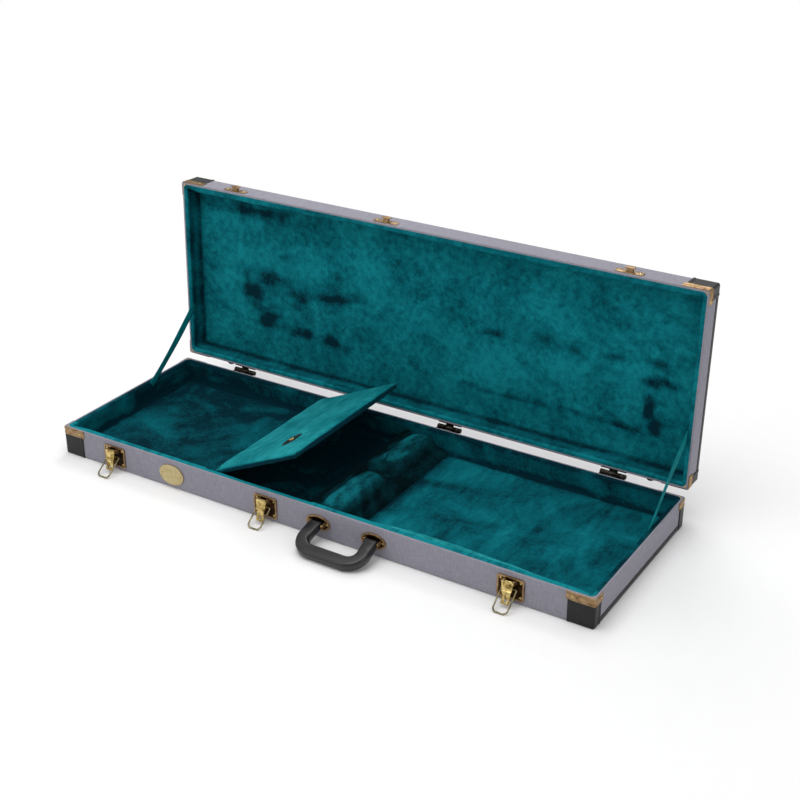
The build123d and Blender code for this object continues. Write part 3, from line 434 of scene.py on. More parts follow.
def ring_path(half_x, half_y, radius, spacing=9.0, arc=6):
    """Points round a rounded rectangle, each with its outward direction."""
    path = []
    cx, cy = half_x - radius, half_y - radius
    corners = ((cx, cy, 0.0), (-cx, cy, 90.0), (-cx, -cy, 180.0), (cx, -cy, 270.0))
    for i, (x, y, start) in enumerate(corners):
        for k in range(arc + 1):
            turn = radians(start + 90.0 * k / arc)
            out = (cos(turn), sin(turn))
            path.append(((x + radius * out[0], y + radius * out[1]), out))
        last = path[-1]
        nx, ny, nstart = corners[(i + 1) % 4]
        turn = radians(nstart)
        nxt = (nx + radius * cos(turn), ny + radius * sin(turn))
        steps = max(2, int(hypot(nxt[0] - last[0][0], nxt[1] - last[0][1]) / spacing))
        for k in range(1, steps):
            t = k / steps
            between = (last[0][0] + (nxt[0] - last[0][0]) * t, last[0][1] + (nxt[1] - last[0][1]) * t)
            path.append((between, last[1]))
    return path


def corner_path(side_x, side_y, long_leg, short_leg, spacing=4.0, arc=6, radius=3.0):
    """Points along a long leg on the front or back, round the corner, and along a short leg on the end."""
    half_x, half_y = HALF_X, HALF_Y
    path = []
    steps = max(2, int((long_leg - radius) / spacing))
    for k in range(steps):
        x = half_x - long_leg + (long_leg - radius) * k / steps
        path.append(((side_x * x, side_y * half_y), (0.0, float(side_y))))
    for k in range(arc + 1):
        turn = radians(90 - 90 * k / arc)
        out = (side_x * cos(turn), side_y * sin(turn))
        bend = (side_x * (half_x - radius) + radius * out[0], side_y * (half_y - radius) + radius * out[1])
        path.append((bend, out))
    steps = max(2, int((short_leg - radius) / spacing))
    for k in range(1, steps + 1):
        y = half_y - radius - (short_leg - radius) * k / steps
        path.append(((side_x * half_x, side_y * y), (float(side_x), 0.0)))
    return path


def sweep(name, path, section, place, finish, closed=True, smooth=40, alter=None):
    """Carries a closed section of (out, height) points along a path. alter may change both by place."""
    rows, count = [], len(section)
    for (x, y), (ox, oy) in path:
        row = []
        for out, h in section:
            if alter:
                out, h = alter(x, y, out, h)
            row.append(place(x + ox * out, y + oy * out, h))
        rows.append(row)
    points = [p for row in rows for p in row]
    across = [0.0]
    for i in range(count):
        a, b = section[i], section[(i + 1) % count]
        across.append(across[-1] + hypot(b[0] - a[0], b[1] - a[1]))
    along = [0.0]
    for i in range(len(path)):
        a, b = path[i][0], path[(i + 1) % len(path)][0]
        along.append(along[-1] + hypot(b[0] - a[0], b[1] - a[1]))
    faces, uvs = [], []
    last = len(rows) if closed else len(rows) - 1
    for i in range(last):
        j = (i + 1) % len(rows)
        for k in range(count):
            m = (k + 1) % count
            faces.append((i * count + k, i * count + m, j * count + m, j * count + k))
            corners = ((i, k), (i, k + 1), (i + 1, k + 1), (i + 1, k))
            uvs += [(along[u] * MM, across[v] * MM) for u, v in corners]
    if not closed:
        for row, flip in ((0, True), (len(rows) - 1, False)):
            cap = [row * count + k for k in range(count)]
            faces.append(tuple(reversed(cap)) if flip else tuple(cap))
            uvs += [(0.0, 0.0)] * count
    return new_piece(name, points, faces, finish, uvs, smooth)


def slab(name, box, place, finish, top, spacing=9.0, rim=3.0, smooth=None, bottom=None):
    """A soft slab over a rectangle. Its top follows top(x, y), and its edges round down towards the bottom."""
    x0, x1, y0, y1, low = box
    nx = max(4, int((x1 - x0) / spacing))
    ny = max(4, int((y1 - y0) / spacing))
    points, faces, uvs = [], [], []

    def eased(i, n, a, b):
        """Positions crowd towards both ends, so that the edge's rounding has points of its own."""
        if i == 0 or i == n:
            return a if i == 0 else b
        if i == 1 or i == n - 1:
            return a + rim * 0.4 if i == 1 else b - rim * 0.4
        if i == 2 or i == n - 2:
            return a + rim if i == 2 else b - rim
        return a + rim + (b - a - 2 * rim) * (i - 2) / (n - 4)

    for level in (0, 1):
        for i in range(nx + 1):
            for j in range(ny + 1):
                x, y = eased(i, nx, x0, x1), eased(j, ny, y0, y1)
                if level:
                    inset = min(x - x0, x1 - x, y - y0, y1 - y)
                    drop = 0.0 if inset >= rim else 1 - sqrt(max(0.0, 1 - (1 - inset / rim) ** 2))
                    h = top(x, y)
                    h -= drop * min(rim, 0.8 * (h - low))
                else:
                    h = low if bottom is None else bottom(x, y)
                points.append(place(x, y, h))
    size = (nx + 1) * (ny + 1)

    def at(level, i, j):
        return level * size + i * (ny + 1) + j

    def flat(index):
        i, j = divmod(index % size, ny + 1)
        return (eased(i, nx, x0, x1) * MM, eased(j, ny, y0, y1) * MM)

    for i in range(nx):
        for j in range(ny):
            faces.append((at(1, i, j), at(1, i + 1, j), at(1, i + 1, j + 1), at(1, i, j + 1)))
            faces.append((at(0, i, j), at(0, i, j + 1), at(0, i + 1, j + 1), at(0, i + 1, j)))
    for i in range(nx):
        faces.append((at(0, i, 0), at(0, i + 1, 0), at(1, i + 1, 0), at(1, i, 0)))
        faces.append((at(0, i + 1, ny), at(0, i, ny), at(1, i, ny), at(1, i + 1, ny)))
    for j in range(ny):
        faces.append((at(0, 0, j + 1), at(0, 0, j), at(1, 0, j), at(1, 0, j + 1)))
        faces.append((at(0, nx, j), at(0, nx, j + 1), at(1, nx, j + 1), at(1, nx, j)))
    for face in faces:
        uvs += [flat(v) for v in face]
    return new_piece(name, points, faces, finish, uvs, smooth)


def cad_copy(node, name, finish, bevel=0.35, steps=2, angle=32, smooth=35):
    """A copy of a hard CAD piece with its triangles merged and its edges eased, for smooth highlights."""
    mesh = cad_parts[node].data.copy()
    mesh.name = name
    solid = bmesh.new()
    solid.from_mesh(mesh)
    bmesh.ops.remove_doubles(solid, verts=solid.verts, dist=1e-6)
    bmesh.ops.dissolve_limit(solid, angle_limit=radians(0.5), verts=solid.verts, edges=solid.edges)
    solid.to_mesh(mesh)
    solid.free()
    mesh.materials.clear()
    mesh.materials.append(MATERIALS[finish])
    for face in mesh.polygons:
        face.material_index = 0
    piece = link(name, mesh)
    if bevel:
        modify(piece, "BEVEL", width=bevel * MM, segments=steps, limit_method="ANGLE",
               angle_limit=radians(angle), use_clamp_overlap=True)
        flatten(piece)
    shade(piece, smooth)
    return piece


def soft_noise(x, y, z, size):
    """Smooth noise from about -1 to 1 whose hills are size millimetres apart."""
    return noise.noise(Vector((x / size, y / size, z / size)))


def puff(piece, voxel, pressure, cap, held, frames=20):
    """Fills a soft piece as stuffing does: remeshed, blown up a little as cloth, and its movement capped.
    held(point) says which points are glued down, and limits are in millimetres."""
    modify(piece, "REMESH", mode="VOXEL", voxel_size=voxel * MM)
    flatten(piece)
    start = [v.co.copy() for v in piece.data.vertices]
    glue = piece.vertex_groups.new(name="glued")
    for i, p in enumerate(start):
        if held(p / MM):
            glue.add([i], 1.0, "REPLACE")
    cloth = piece.modifiers.new("filling", "CLOTH")
    cloth.settings.use_pressure = True
    cloth.settings.uniform_pressure_force = pressure
    cloth.settings.effector_weights.gravity = 0.0
    cloth.settings.vertex_group_mass = glue.name
    cloth.point_cache.frame_start, cloth.point_cache.frame_end = 1, frames
    scene = bpy.context.scene
    for step in range(1, frames + 1):
        scene.frame_set(step)
    graph = bpy.context.evaluated_depsgraph_get()
    blown = [v.co.copy() for v in piece.evaluated_get(graph).data.vertices]
    piece.modifiers.clear()
    piece.vertex_groups.clear()
    scene.frame_set(1)
    for vertex, was, now in zip(piece.data.vertices, start, blown):
        moved = now - was
        far = moved.length
        if far > cap * MM:
            moved *= cap * MM / far
        vertex.co = was + moved
    modify(piece, "SUBSURF", levels=1, render_levels=1)
    flatten(piece)
    piece.data.shade_smooth()
    return piece


# Geometry nodes

def socket_key(tree, name):
    """The identifier that a modifier knows a tree's input by."""
    return next(s.identifier for s in tree.interface.items_tree if s.name == name and s.in_out == "INPUT")


def new_tree(name, sizes):
    """A Geometry Nodes tree with its sizes and finish as inputs, and those inputs."""
    tree = bpy.data.node_groups.new(name, "GeometryNodeTree")
    tree.interface.new_socket("Geometry", in_out="INPUT", socket_type="NodeSocketGeometry")
    for label, value in sizes:
        made = tree.interface.new_socket(label, in_out="INPUT", socket_type="NodeSocketFloat")
        made.default_value = value
    tree.interface.new_socket("Finish", in_out="INPUT", socket_type="NodeSocketMaterial")
    tree.interface.new_socket("Geometry", in_out="OUTPUT", socket_type="NodeSocketGeometry")
    return tree, add(tree, "NodeGroupInput").outputs


def strew(tree, given, points, item, turned):
    """Ends a tree: the item at every point, turned, made real and given its finish."""
    placed = add(tree, "GeometryNodeInstanceOnPoints", {
        "Points": points, "Instance": item.outputs[0], "Rotation": turned.outputs[0]})
    real = add(tree, "GeometryNodeRealizeInstances", {"Geometry": placed.outputs[0]})
    coloured = add(tree, "GeometryNodeSetMaterial", {"Geometry": real.outputs[0], "Material": given["Finish"]})
    add(tree, "NodeGroupOutput", {"Geometry": coloured.outputs[0]})
    return tree


def rivet_tree():
    """Geometry Nodes: a domed rivet head with a small collar at each point, facing its own direction."""
    tree, given = new_tree("rivet heads", (("Radius", 0.0022), ("Height", 0.0012), ("Turned up", 0.45)))
    ball = add(tree, "GeometryNodeMeshUVSphere", {"Segments": 14, "Rings": 8, "Radius": 1.0})
    width = add(tree, "ShaderNodeCombineXYZ", {
        "X": given["Radius"], "Y": given["Radius"], "Z": given["Height"]})
    dome = add(tree, "GeometryNodeTransform", {"Geometry": ball.outputs["Mesh"], "Scale": width.outputs[0]})
    disc = add(tree, "GeometryNodeMeshCylinder", {"Vertices": 18, "Radius": 1.0, "Depth": 1.0})
    collar_wide = add(tree, "ShaderNodeMath", {0: given["Radius"], 1: 1.28}, operation="MULTIPLY")
    collar_tall = add(tree, "ShaderNodeMath", {0: given["Height"], 1: given["Turned up"]}, operation="MULTIPLY")
    collar_size = add(tree, "ShaderNodeCombineXYZ", {
        "X": collar_wide.outputs[0], "Y": collar_wide.outputs[0], "Z": collar_tall.outputs[0]})
    collar = add(tree, "GeometryNodeTransform", {
        "Geometry": disc.outputs["Mesh"], "Scale": collar_size.outputs[0]})
    head = add(tree, "GeometryNodeJoinGeometry")
    tree.links.new(dome.outputs[0], head.inputs[0])
    tree.links.new(collar.outputs[0], head.inputs[0])
    facing = add(tree, "GeometryNodeInputNamedAttribute", {"Name": "facing"}, data_type="FLOAT_VECTOR")
    turned = add(tree, "FunctionNodeAlignEulerToVector", {"Vector": facing.outputs["Attribute"]}, axis="Z")
    return strew(tree, given, given["Geometry"], head, turned)


def stitch_tree():
    """Geometry Nodes: a row of short rounded stitches along a seam, each lying along it, half sunk."""
    tree, given = new_tree("stitches", (("Pitch", 0.0035), ("Length", 0.0024), ("Thread", 0.0007)))
    seam = add(tree, "GeometryNodeMeshToCurve", {"Mesh": given["Geometry"]})
    spaced = add(tree, "GeometryNodeResampleCurve", {
        "Curve": seam.outputs[0], "Length": given["Pitch"]}, mode="LENGTH")
    tangent = add(tree, "GeometryNodeInputTangent")
    turned = add(tree, "FunctionNodeAlignEulerToVector", {"Vector": tangent.outputs[0]}, axis="Z")
    ball = add(tree, "GeometryNodeMeshUVSphere", {"Segments": 6, "Rings": 5, "Radius": 0.5})
    size = add(tree, "ShaderNodeCombineXYZ", {"X": given["Thread"], "Y": given["Thread"], "Z": given["Length"]})
    stitch = add(tree, "GeometryNodeTransform", {"Geometry": ball.outputs["Mesh"], "Scale": size.outputs[0]})
    return strew(tree, given, spaced.outputs[0], stitch, turned)


TREES = {}


def run_tree(name, tree, points, edges, sizes, finish, facing=None):
    """Runs a tree on points or seams in millimetres, and keeps the result as a plain mesh."""
    mesh = bpy.data.meshes.new(name)
    mesh.from_pydata([Vector(p) * MM for p in points], edges, [])
    if facing is not None:
        attribute = mesh.attributes.new("facing", "FLOAT_VECTOR", "POINT")
        for item, direction in zip(attribute.data, facing):
            item.vector = direction
    piece = link(name, mesh)
    modifier = piece.modifiers.new(tree.name, "NODES")
    modifier.node_group = tree
    for label, value in sizes.items():
        modifier[socket_key(tree, label)] = value
    modifier[socket_key(tree, "Finish")] = MATERIALS[finish]
    flatten(piece)
    piece.data.shade_smooth()
    return piece


def rivets(name, node, spots, body, radius, height):
    """Rivet heads at (point, direction) spots, in place of a node."""
    heads = run_tree(name, TREES["rivets"], [p for p, _ in spots], [], {
        "Radius": radius * MM, "Height": height * MM}, "bright_brass", [d for _, d in spots])
    return settle(heads, body, (node,))


def stitches(name, seams, pitch, thread=0.7, long=2.5):
    """Stitches along seams, each a list of points."""
    points, edges = [], []
    for seam in seams:
        first = len(points)
        points += seam
        edges += [(first + i, first + i + 1) for i in range(len(seam) - 1)]
    return run_tree(name, TREES["stitches"], points, edges, {
        "Pitch": pitch * MM, "Length": long * MM, "Thread": thread * MM}, "thread")


# Settings

def hex_code(label, note, code):
    """A colour that can be changed, as an sRGB hex code."""
    return bpy.props.StringProperty(name=label, description=note, default=code)


def length(label, note, size):
    """A length that can be changed, given in millimetres."""
    return bpy.props.FloatProperty(name=label, description=note, default=size * MM, unit="LENGTH")


class CaseColours(bpy.types.PropertyGroup):
    """Colours as sRGB hex codes."""
    cloth: hex_code("Cloth", "Middle yarn of the cover", "#8a8893")
    cloth_dark: hex_code("Cloth, dark yarn", "Darkest yarn", "#7f7d89")
    cloth_light: hex_code("Cloth, pale yarn", "Palest yarn", "#95939e")
    plush: hex_code("Plush", "Pile seen from above", "#045d68")
    plush_dark: hex_code("Plush, brushed away", "Pile leaning away", "#012833")
    plush_light: hex_code("Plush, brushed up", "Pile leaning up", "#10808a")
    brass: hex_code("Antique brass", "Plating of the hardware", "#9c8060")


class CaseSizes(bpy.types.PropertyGroup):
    """Sizes of the soft work and trim."""
    lip: length("Lip", "How far the front lining's rolled lip stands in", 4.5)
    relief: length("Relief", "Height of the floor pad's soft hills", 1.2)
    fill: length("Filling", "How far the neck rest may swell", 4.0)
    bead: length("Bead", "Height of the clamps' pressed beads", 0.8)
    pitch: length("Stitch pitch", "Distance from one stitch to the next", 3.5)


# Stage

class CASE_OT_stage(bpy.types.Operator):
    """Floor, light and the camera that stands where the photograph was taken"""
    bl_idname = "case.stage"
    bl_label = "Stage"

    def execute(self, context):
        scene = context.scene
        scene.view_settings.view_transform = "Standard"
        size, steps = FLOOR_SIZE, FLOOR_STEPS
        points = [(size * (i / steps - 0.5), size * (j / steps - 0.5), 0.0)
                  for i in range(steps + 1) for j in range(steps + 1)]
        faces = [face[::-1] for face in grid(steps + 1, steps + 1)]
        mesh = bpy.data.meshes.new("studio_floor")
        mesh.from_pydata(points, [], faces)
        floor = link("studio_floor", mesh)
        material, tree, shader, where = new_material("painted_floor", Roughness=0.9, Specular_IOR_Level=0.1)
        speck = add(tree, "ShaderNodeTexNoise", {"Vector": where, "Scale": 30.0})
        paint = add(tree, "ShaderNodeValToRGB", {"Fac": speck.outputs["Fac"]}, stops=(
            (0.0, grey(0.93)), (1.0, grey(0.95))))
        tree.links.new(paint.outputs["Color"], shader.inputs["Base Color"])
        away = add(tree, "ShaderNodeVectorMath", {0: where}, operation="LENGTH")
        far = add(tree, "ShaderNodeMapRange", {
            "Value": away.outputs["Value"], "From Min": FADE_FROM, "From Max": FADE_TO})
        path = add(tree, "ShaderNodeLightPath").outputs
        seen = add(tree, "ShaderNodeMath", {
            0: path["Is Camera Ray"], 1: path["Is Glossy Ray"]}, operation="MAXIMUM")
        seen = add(tree, "ShaderNodeMath", {
            0: seen.outputs[0], 1: path["Is Transmission Ray"]}, operation="MAXIMUM")
        fade = add(tree, "ShaderNodeMath", {
            0: far.outputs["Result"], 1: seen.outputs[0]}, operation="MULTIPLY")
        white = add(tree, "ShaderNodeEmission", {"Color": grey(1.0), "Strength": 1.0})
        mixed = add(tree, "ShaderNodeMixShader", {
            0: fade.outputs[0], 1: shader.outputs[0], 2: white.outputs[0]})
        tree.links.new(mixed.outputs[0], tree.nodes["Material Output"].inputs["Surface"])
        mesh.materials.append(material)

        world = bpy.data.worlds.new("studio")
        world.use_nodes = True
        scene.world = world
        sky = world.node_tree
        sky.nodes.clear()
        path = add(sky, "ShaderNodeLightPath").outputs
        seen = add(sky, "ShaderNodeMath", {
            0: path["Is Camera Ray"], 1: path["Is Transmission Ray"]}, operation="MAXIMUM")
        soft = add(sky, "ShaderNodeBackground", {"Color": grey(1.0), "Strength": 0.56})
        plain = add(sky, "ShaderNodeBackground", {"Color": grey(1.0), "Strength": 1.0})
        mixed = add(sky, "ShaderNodeMixShader", {0: seen.outputs[0], 1: soft.outputs[0], 2: plain.outputs[0]})
        add(sky, "ShaderNodeOutputWorld", {"Surface": mixed.outputs[0]})

        for name, spot, target, wide, power in LAMPS:
            lamp = bpy.data.lights.new(name, "AREA")
            lamp.size, lamp.energy = wide, power
            light = link(name, lamp)
            light.location = spot
            light.rotation_euler = (Vector(spot) - Vector(target)).to_track_quat("Z", "Y").to_euler()

        turn, tilt = radians(CAMERA_TURN), radians(CAMERA_TILT)
        back = Vector((sin(turn) * cos(tilt), -cos(turn) * cos(tilt), sin(tilt)))
        lens = bpy.data.cameras.new("camera")
        lens.lens, lens.sensor_width = CAMERA_LENS, 36.0
        lens.clip_start, lens.clip_end = 0.05, 40.0
        camera = link("camera", lens)
        camera.location = CAMERA_AT
        camera.rotation_euler = back.to_track_quat("Z", "Y").to_euler()
        scene.camera = camera
        return {"FINISHED"}


# Covers and boards

class CASE_OT_covers(bpy.types.Operator):
    """Woven cloth glued over both shells and turned over their rims, and the boards under it"""
    bl_idname = "case.covers"
    bl_label = "Cloth covers"

    def execute(self, context):
        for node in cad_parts:
            if node.endswith(("_wall", "_bottom_panel", "_top_panel")):
                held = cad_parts[node]
                held.data.materials.clear()
                held.data.materials.append(MATERIALS["plywood"])
        for body, (label, place, rim) in SHELLS.items():
            over = rim + 0.15
            turned = [(-3.6, rim + 0.04), (-3.3, over), (-1.0, over)]
            turned += [(-1.0 + 1.0 * sin(radians(a)), over - 1.0 + 1.0 * cos(radians(a))) for a in (30, 60, 90)]
            walls = [(0.0, h) for h in (rim * 0.75, rim * 0.5, rim * 0.25, 2.2)]
            # The underside lies 0.3 mm up, so that patches and strips lie on it and not in its plane
            under = [(-2.2 + 2.2 * cos(radians(a)), 2.5 - 2.2 * sin(radians(a))) for a in (30, 60, 90)]
            inside = [(-12.0, 0.3), (-12.0, 0.8), (-2.2, 0.9), (-0.7, 2.5), (-0.7, rim - 2.0),
                      (-2.0, over - 0.5)]
            wrap = sweep(f"{label}_cloth_wrap", ring_path(HALF_X, HALF_Y, 3.0),
                         turned + walls + under + inside, place, "cloth", smooth=60)
            settle(wrap, body, (f"{label}_side_cover",))
            cover = "base_bottom_cover" if body == "base" else "lid_top_cover"
            box = (-HALF_X + 8, HALF_X - 8, -HALF_Y + 8, HALF_Y - 8, 1.0)
            sheet = slab(f"{label}_cloth_panel", box,
                         lambda x, y, h, place=place: place(x, y, 1.2 - h), "cloth",
                         lambda x, y: 1.05, spacing=24.0, rim=1.5, smooth=50)
            settle(sheet, body, (cover,))
        return {"FINISHED"}


# Linings

def paint_shade_faces(piece, finish, chosen):
    """Gives the faces that chosen(centre, normal) picks, in millimetres, a second, darker finish as painted
    shade.
    """
    piece.data.materials.append(MATERIALS[finish])
    last = len(piece.data.materials) - 1
    for face in piece.data.polygons:
        if chosen(face.center / MM, face.normal):
            face.material_index = last


def measured(body, p):
    """A point's place in its shell's own measure, the inverse of base_place and lid_place."""
    if body == "base":
        return p.x, p.y, p.z
    turn = radians(LID_OPEN)
    y, z = p.y - HINGE_Y, p.z - HINGE_Z
    return p.x, HINGE_Y + y * cos(turn) - z * sin(turn), TOP - HINGE_Z - y * sin(turn) - z * cos(turn)


def brush_and_paint_shade(piece, body, lay):
    """Stores how far the pile is brushed down at each point, together with painted shade and painted light:
    lay(x, y, h) above 0 is darker, below 0 paler.
    """
    layer = piece.data.attributes.new("pile_lay_and_painted_shade", "FLOAT", "POINT")
    for item, vertex in zip(layer.data, piece.data.vertices):
        item.value = lay(*measured(body, vertex.co / MM))


def clamp(value):
    """The value kept between 0 and 1."""
    return min(1.0, max(0.0, value))


def ease(value):
    """From 0 to 1, flat at both ends."""
    t = clamp(value)
    return t * t * (3 - 2 * t)


def near(distance, reach):
    """1 at no distance, easing to 0 at the reach."""
    return ease(1 - distance / reach)


# Where hands have laid the pile of the lid's pad over: x, y, half length, half width, tilt, how dark
LID_MARKS = (
    (-345, -10, 36, 17, 5, 0.50), (-379, 30, 20, 22, 40, 0.46), (-347, 75, 20, 24, 15, 0.50),
    (-275, 17, 24, 22, 20, 0.46), (-205, 6, 66, 9, -6, 0.36), (-268, 86, 36, 9, 4, 0.44),
    (-195, 90, 34, 11, 6, 0.44), (-360, -133, 66, 15, 3, 0.46), (434, 14, 32, 10, -4, 0.50),
    (431, -18, 24, 8, 0, 0.36), (426, 55, 10, 26, 0, 0.50), (438, 88, 10, 20, -14, 0.50),
    (170, 104, 120, 5, 0, 0.30), (345, 104, 90, 5, 2, 0.34), (231, -10, 22, 10, 0, 0.34),
    (288, -10, 16, 8, 0, 0.30), (136, -4, 18, 8, 0, 0.30), (358, -14, 16, 8, 0, 0.34))


def marked(x, y, marks):
    """The darkest of the marks at a point, with ragged edges."""
    deepest = 0.0
    ragged = 0.75 * soft_noise(x, 1.6 * y, 1.0, 24.0) + 0.40 * soft_noise(x, y, 6.0, 9.0)
    for mx, my, half_long, half_wide, tilt, dark in marks:
        c, d = cos(radians(tilt)), sin(radians(tilt))
        u, v = ((x - mx) * c + (y - my) * d) / half_long, ((y - my) * c - (x - mx) * d) / half_wide
        deepest = max(deepest, 0.86 * dark * near(hypot(u, v) + ragged, 1.6))
    return deepest


class CASE_OT_linings(bpy.types.Operator):
    """Plush on the walls, floor and top, the body bay's front pad, the neck rest and the partition"""
    bl_idname = "case.linings"
    bl_label = "Plush linings"

    def execute(self, context):
        sizes = context.scene.case_sizes
        lip = sizes.lip / MM
        relief = sizes.relief / MM

        def swell(x, y):
            """How far the lining stands in beyond its own thickness, by the wall it is on."""
            corner = clamp((INNER_X - abs(x) if abs(y) > INNER_Y - 9 else INNER_Y - abs(y)) / 34.0)
            front = y < -INNER_Y + 9
            reach = 1.4
            if front:
                reach = 2.0 if -205 < x < 12 else lip
            return corner * (reach + 0.7 * soft_noise(x, y, 3.0, 38.0))

        for body, (label, place, rim) in SHELLS.items():
            top = rim + 0.1

            def shaped(x, y, out, h, top=top):
                if out < -1.0:
                    rise = clamp((h - FLOOR) / (top - FLOOR))
                    out -= swell(x, y) * (0.35 + 0.65 * rise)
                    h = min(top, h + 0.45 * soft_noise(x, y, h, 24.0) * rise)
                return out, h

            section = [(0.3, FLOOR - 1.0), (-8.0, FLOOR - 1.0), (-6.2, FLOOR + 1.5), (-4.6, FLOOR + 5.0)]
            section += [(-4.0, FLOOR + (top - FLOOR) * t) for t in (0.35, 0.55, 0.72, 0.86)]
            section += [(-4.0 + 2.6 * (1 - cos(radians(a))), top - 2.6 + 2.6 * sin(radians(a)))
                        for a in (20, 45, 70, 90)]
            section += [(0.8, top), (3.1, top), (3.3, top - 0.3), (0.3, top - 0.6)]
            wall = sweep(f"{label}_plush_walls", ring_path(INNER_X, INNER_Y, 7.0, spacing=6.0), section,
                         place, "plush", smooth=None, alter=shaped)

            def wall_painted_shade_and_light(x, y, h, body=body, top=top):
                """Painted shade at the foot; on the lid, in a band below the rim, strongest on its ends and
                front side;
                on the base, at the back and end lips, on the back wall and on the walls of the compartment and
                left bay.
                Painted light on the lid's lip and the base's front lip.
                """
                end = abs(x) > INNER_X - 16 and abs(y) < INNER_Y - 12
                dark = 0.30 * near(h - FLOOR, 15.0)
                pale = body == "case_lid" or y < -INNER_Y + 16
                dark += -0.20 * near(top - h, 5.0) if pale else 0.24 * near(top - h, 9.0)
                if body == "case_lid":
                    dark += 0.20 * near(top - h - 8.0, 16.0) * (1.0 if end or y < 0 else 0.35)
                else:
                    dark += 0.10 * (y > 0) + 0.12 * (x < 6.0) * (h < top - 6.0)
                return dark + 0.08 * soft_noise(x, y, h, 30.0)

            brush_and_paint_shade(wall, body, wall_painted_shade_and_light)
            settle(wall, body, (f"{label}_wall_lining",))

            def floor_top(x, y):
                hills = relief * (soft_noise(x, y, 1.0, 70.0) + 0.5 * soft_noise(x, y, 9.0, 28.0))
                return FLOOR + hills

            box = (-INNER_X + 0.5, INNER_X - 0.5, -INNER_Y + 0.5, INNER_Y - 0.5, 5.9)
            pad = slab(f"{label}_plush_floor", box, place, "plush", floor_top, spacing=5.5, rim=7.0)

            def floor_marks_and_painted_shade(x, y, h, body=body):
                """Painted shade in the crease round the pad, the lid's hand marks, and painted shade in the
                base's bays:
                beside the neck rest, under the compartment lid and in the left bay.
                """
                edge = min(INNER_X - abs(x), INNER_Y - abs(y))
                dark = 0.34 * near(edge - 2.0, 13.0) + 0.05 * soft_noise(x, y, 2.0, 60.0)
                if body == "case_lid":
                    return dark + marked(x, y, LID_MARKS) - 0.05
                if x > REST_X[1]:
                    return dark + 0.05 + 0.16 * near(x - REST_X[1], 26.0)
                if x > PANEL_X:
                    return dark + 0.32
                return dark + 0.22 + 0.18 * near(PANEL_X - x, 60.0)

            brush_and_paint_shade(pad, body, floor_marks_and_painted_shade)
            settle(pad, body, ("base_floor_pad" if body == "base" else "lid_top_pad",))

        # The body bay's front pad: from the wall to a long crown, rolled over at the rim
        outline = []
        (x0, x1), steps = BAY_X, 42
        for i in range(steps + 1):
            x = x0 + (x1 - x0) * i / steps
            t = (x - BAY_CROWN_X) / (BAY_CROWN_X - x0 if x < BAY_CROWN_X else x1 - BAY_CROWN_X)
            outline.append((x, -161.0 + 3.0 + 19.0 * (1 - t * t)))
        points = []
        levels = (FLOOR - 0.5, 20.0, 32.0, 42.0, 47.6, 50.4)
        pulls = (0.0, 0.0, 0.0, 0.4, 1.6, 4.6)
        for z, pull in zip(levels, pulls):
            points += [(x, y - pull, z) for x, y in outline]
        wide = steps + 1
        faces = grid(len(levels), wide)
        back_low, back_high = len(points), len(points) + wide
        points += [(x, BAY_BACK_Y, z) for z in (FLOOR - 0.5, 50.9) for x, _ in outline]
        top_row = (len(levels) - 1) * wide
        for i in range(steps):
            faces.append((top_row + i, top_row + i + 1, back_high + i + 1, back_high + i))
            faces.append((back_high + i, back_high + i + 1, back_low + i + 1, back_low + i))
            faces.append((back_low + i, back_low + i + 1, i + 1, i))
        for i in (0, steps):
            side = [row * wide + i for row in range(len(levels))] + [back_high + i, back_low + i]
            faces.append(tuple(side))
        # The pad takes the lighter plush copy as painted light, with painted shade at its foot and painted
        # light along its rolled top.
        bay = new_piece("body_bay_plush_pad", points, faces, "plush_painted_lit")
        puff(bay, 4.5, 3.0, 1.9, lambda p: p.y < -163.0 or p.z < FLOOR + 1.0)
        brush_and_paint_shade(bay, "base", lambda x, y, h: 0.30 * near(h - FLOOR, 22.0) - 0.10 * near(51.0 - h, 6.0))
        settle(bay, "base", ("body_bay_pad",))

        def hump(x, y):
            """How full the stuffing is, 0 to 1: two humps, drawn in at the crease, the ends and both sides."""
            out = abs(y - 8.0 + 7.0 * soft_noise(x, 0.0, 2.0, 26.0))
            crease = ease((out - 3.0) / 30.0)
            lobe = sin(pi * clamp((abs(y) - 4.0) / 152.0)) ** 0.5
            half = 24.0 + 7.0 * lobe + 2.0 * soft_noise(0.0, y, 7.0, 24.0)
            along = max(0.0, 1 - abs((x - 35.0 - 3.0 * soft_noise(0.0, y, 3.0, 50.0)) / half) ** 2.6) ** 0.6
            end = clamp((161.0 - abs(y)) / 30.0) ** 0.5
            return along * (0.22 + 0.78 * crease) * (0.45 + 0.55 * end)

        def fold(x, y):
            """Folds of the cover that run into the crease."""
            across = 0.82 * x - 0.57 * y * (1 if y > 0 else -1)
            return soft_noise(across, 0.35 * y, 4.0, 15.0)

        def rest_top(x, y):
            """Ledge for the compartment lid, then the humps."""
            if x < 4.0:
                return REST_LEDGE_Z
            full = hump(x, y)
            foot = 21.0 - 7.0 * clamp((x - 60.0) / 22.0) ** 2
            folds = (3.2 * fold(x, y) + 1.5 * soft_noise(x, y, 5.0, 40.0)) * full
            return foot + (REST_CROWN_Z - foot) * full + folds

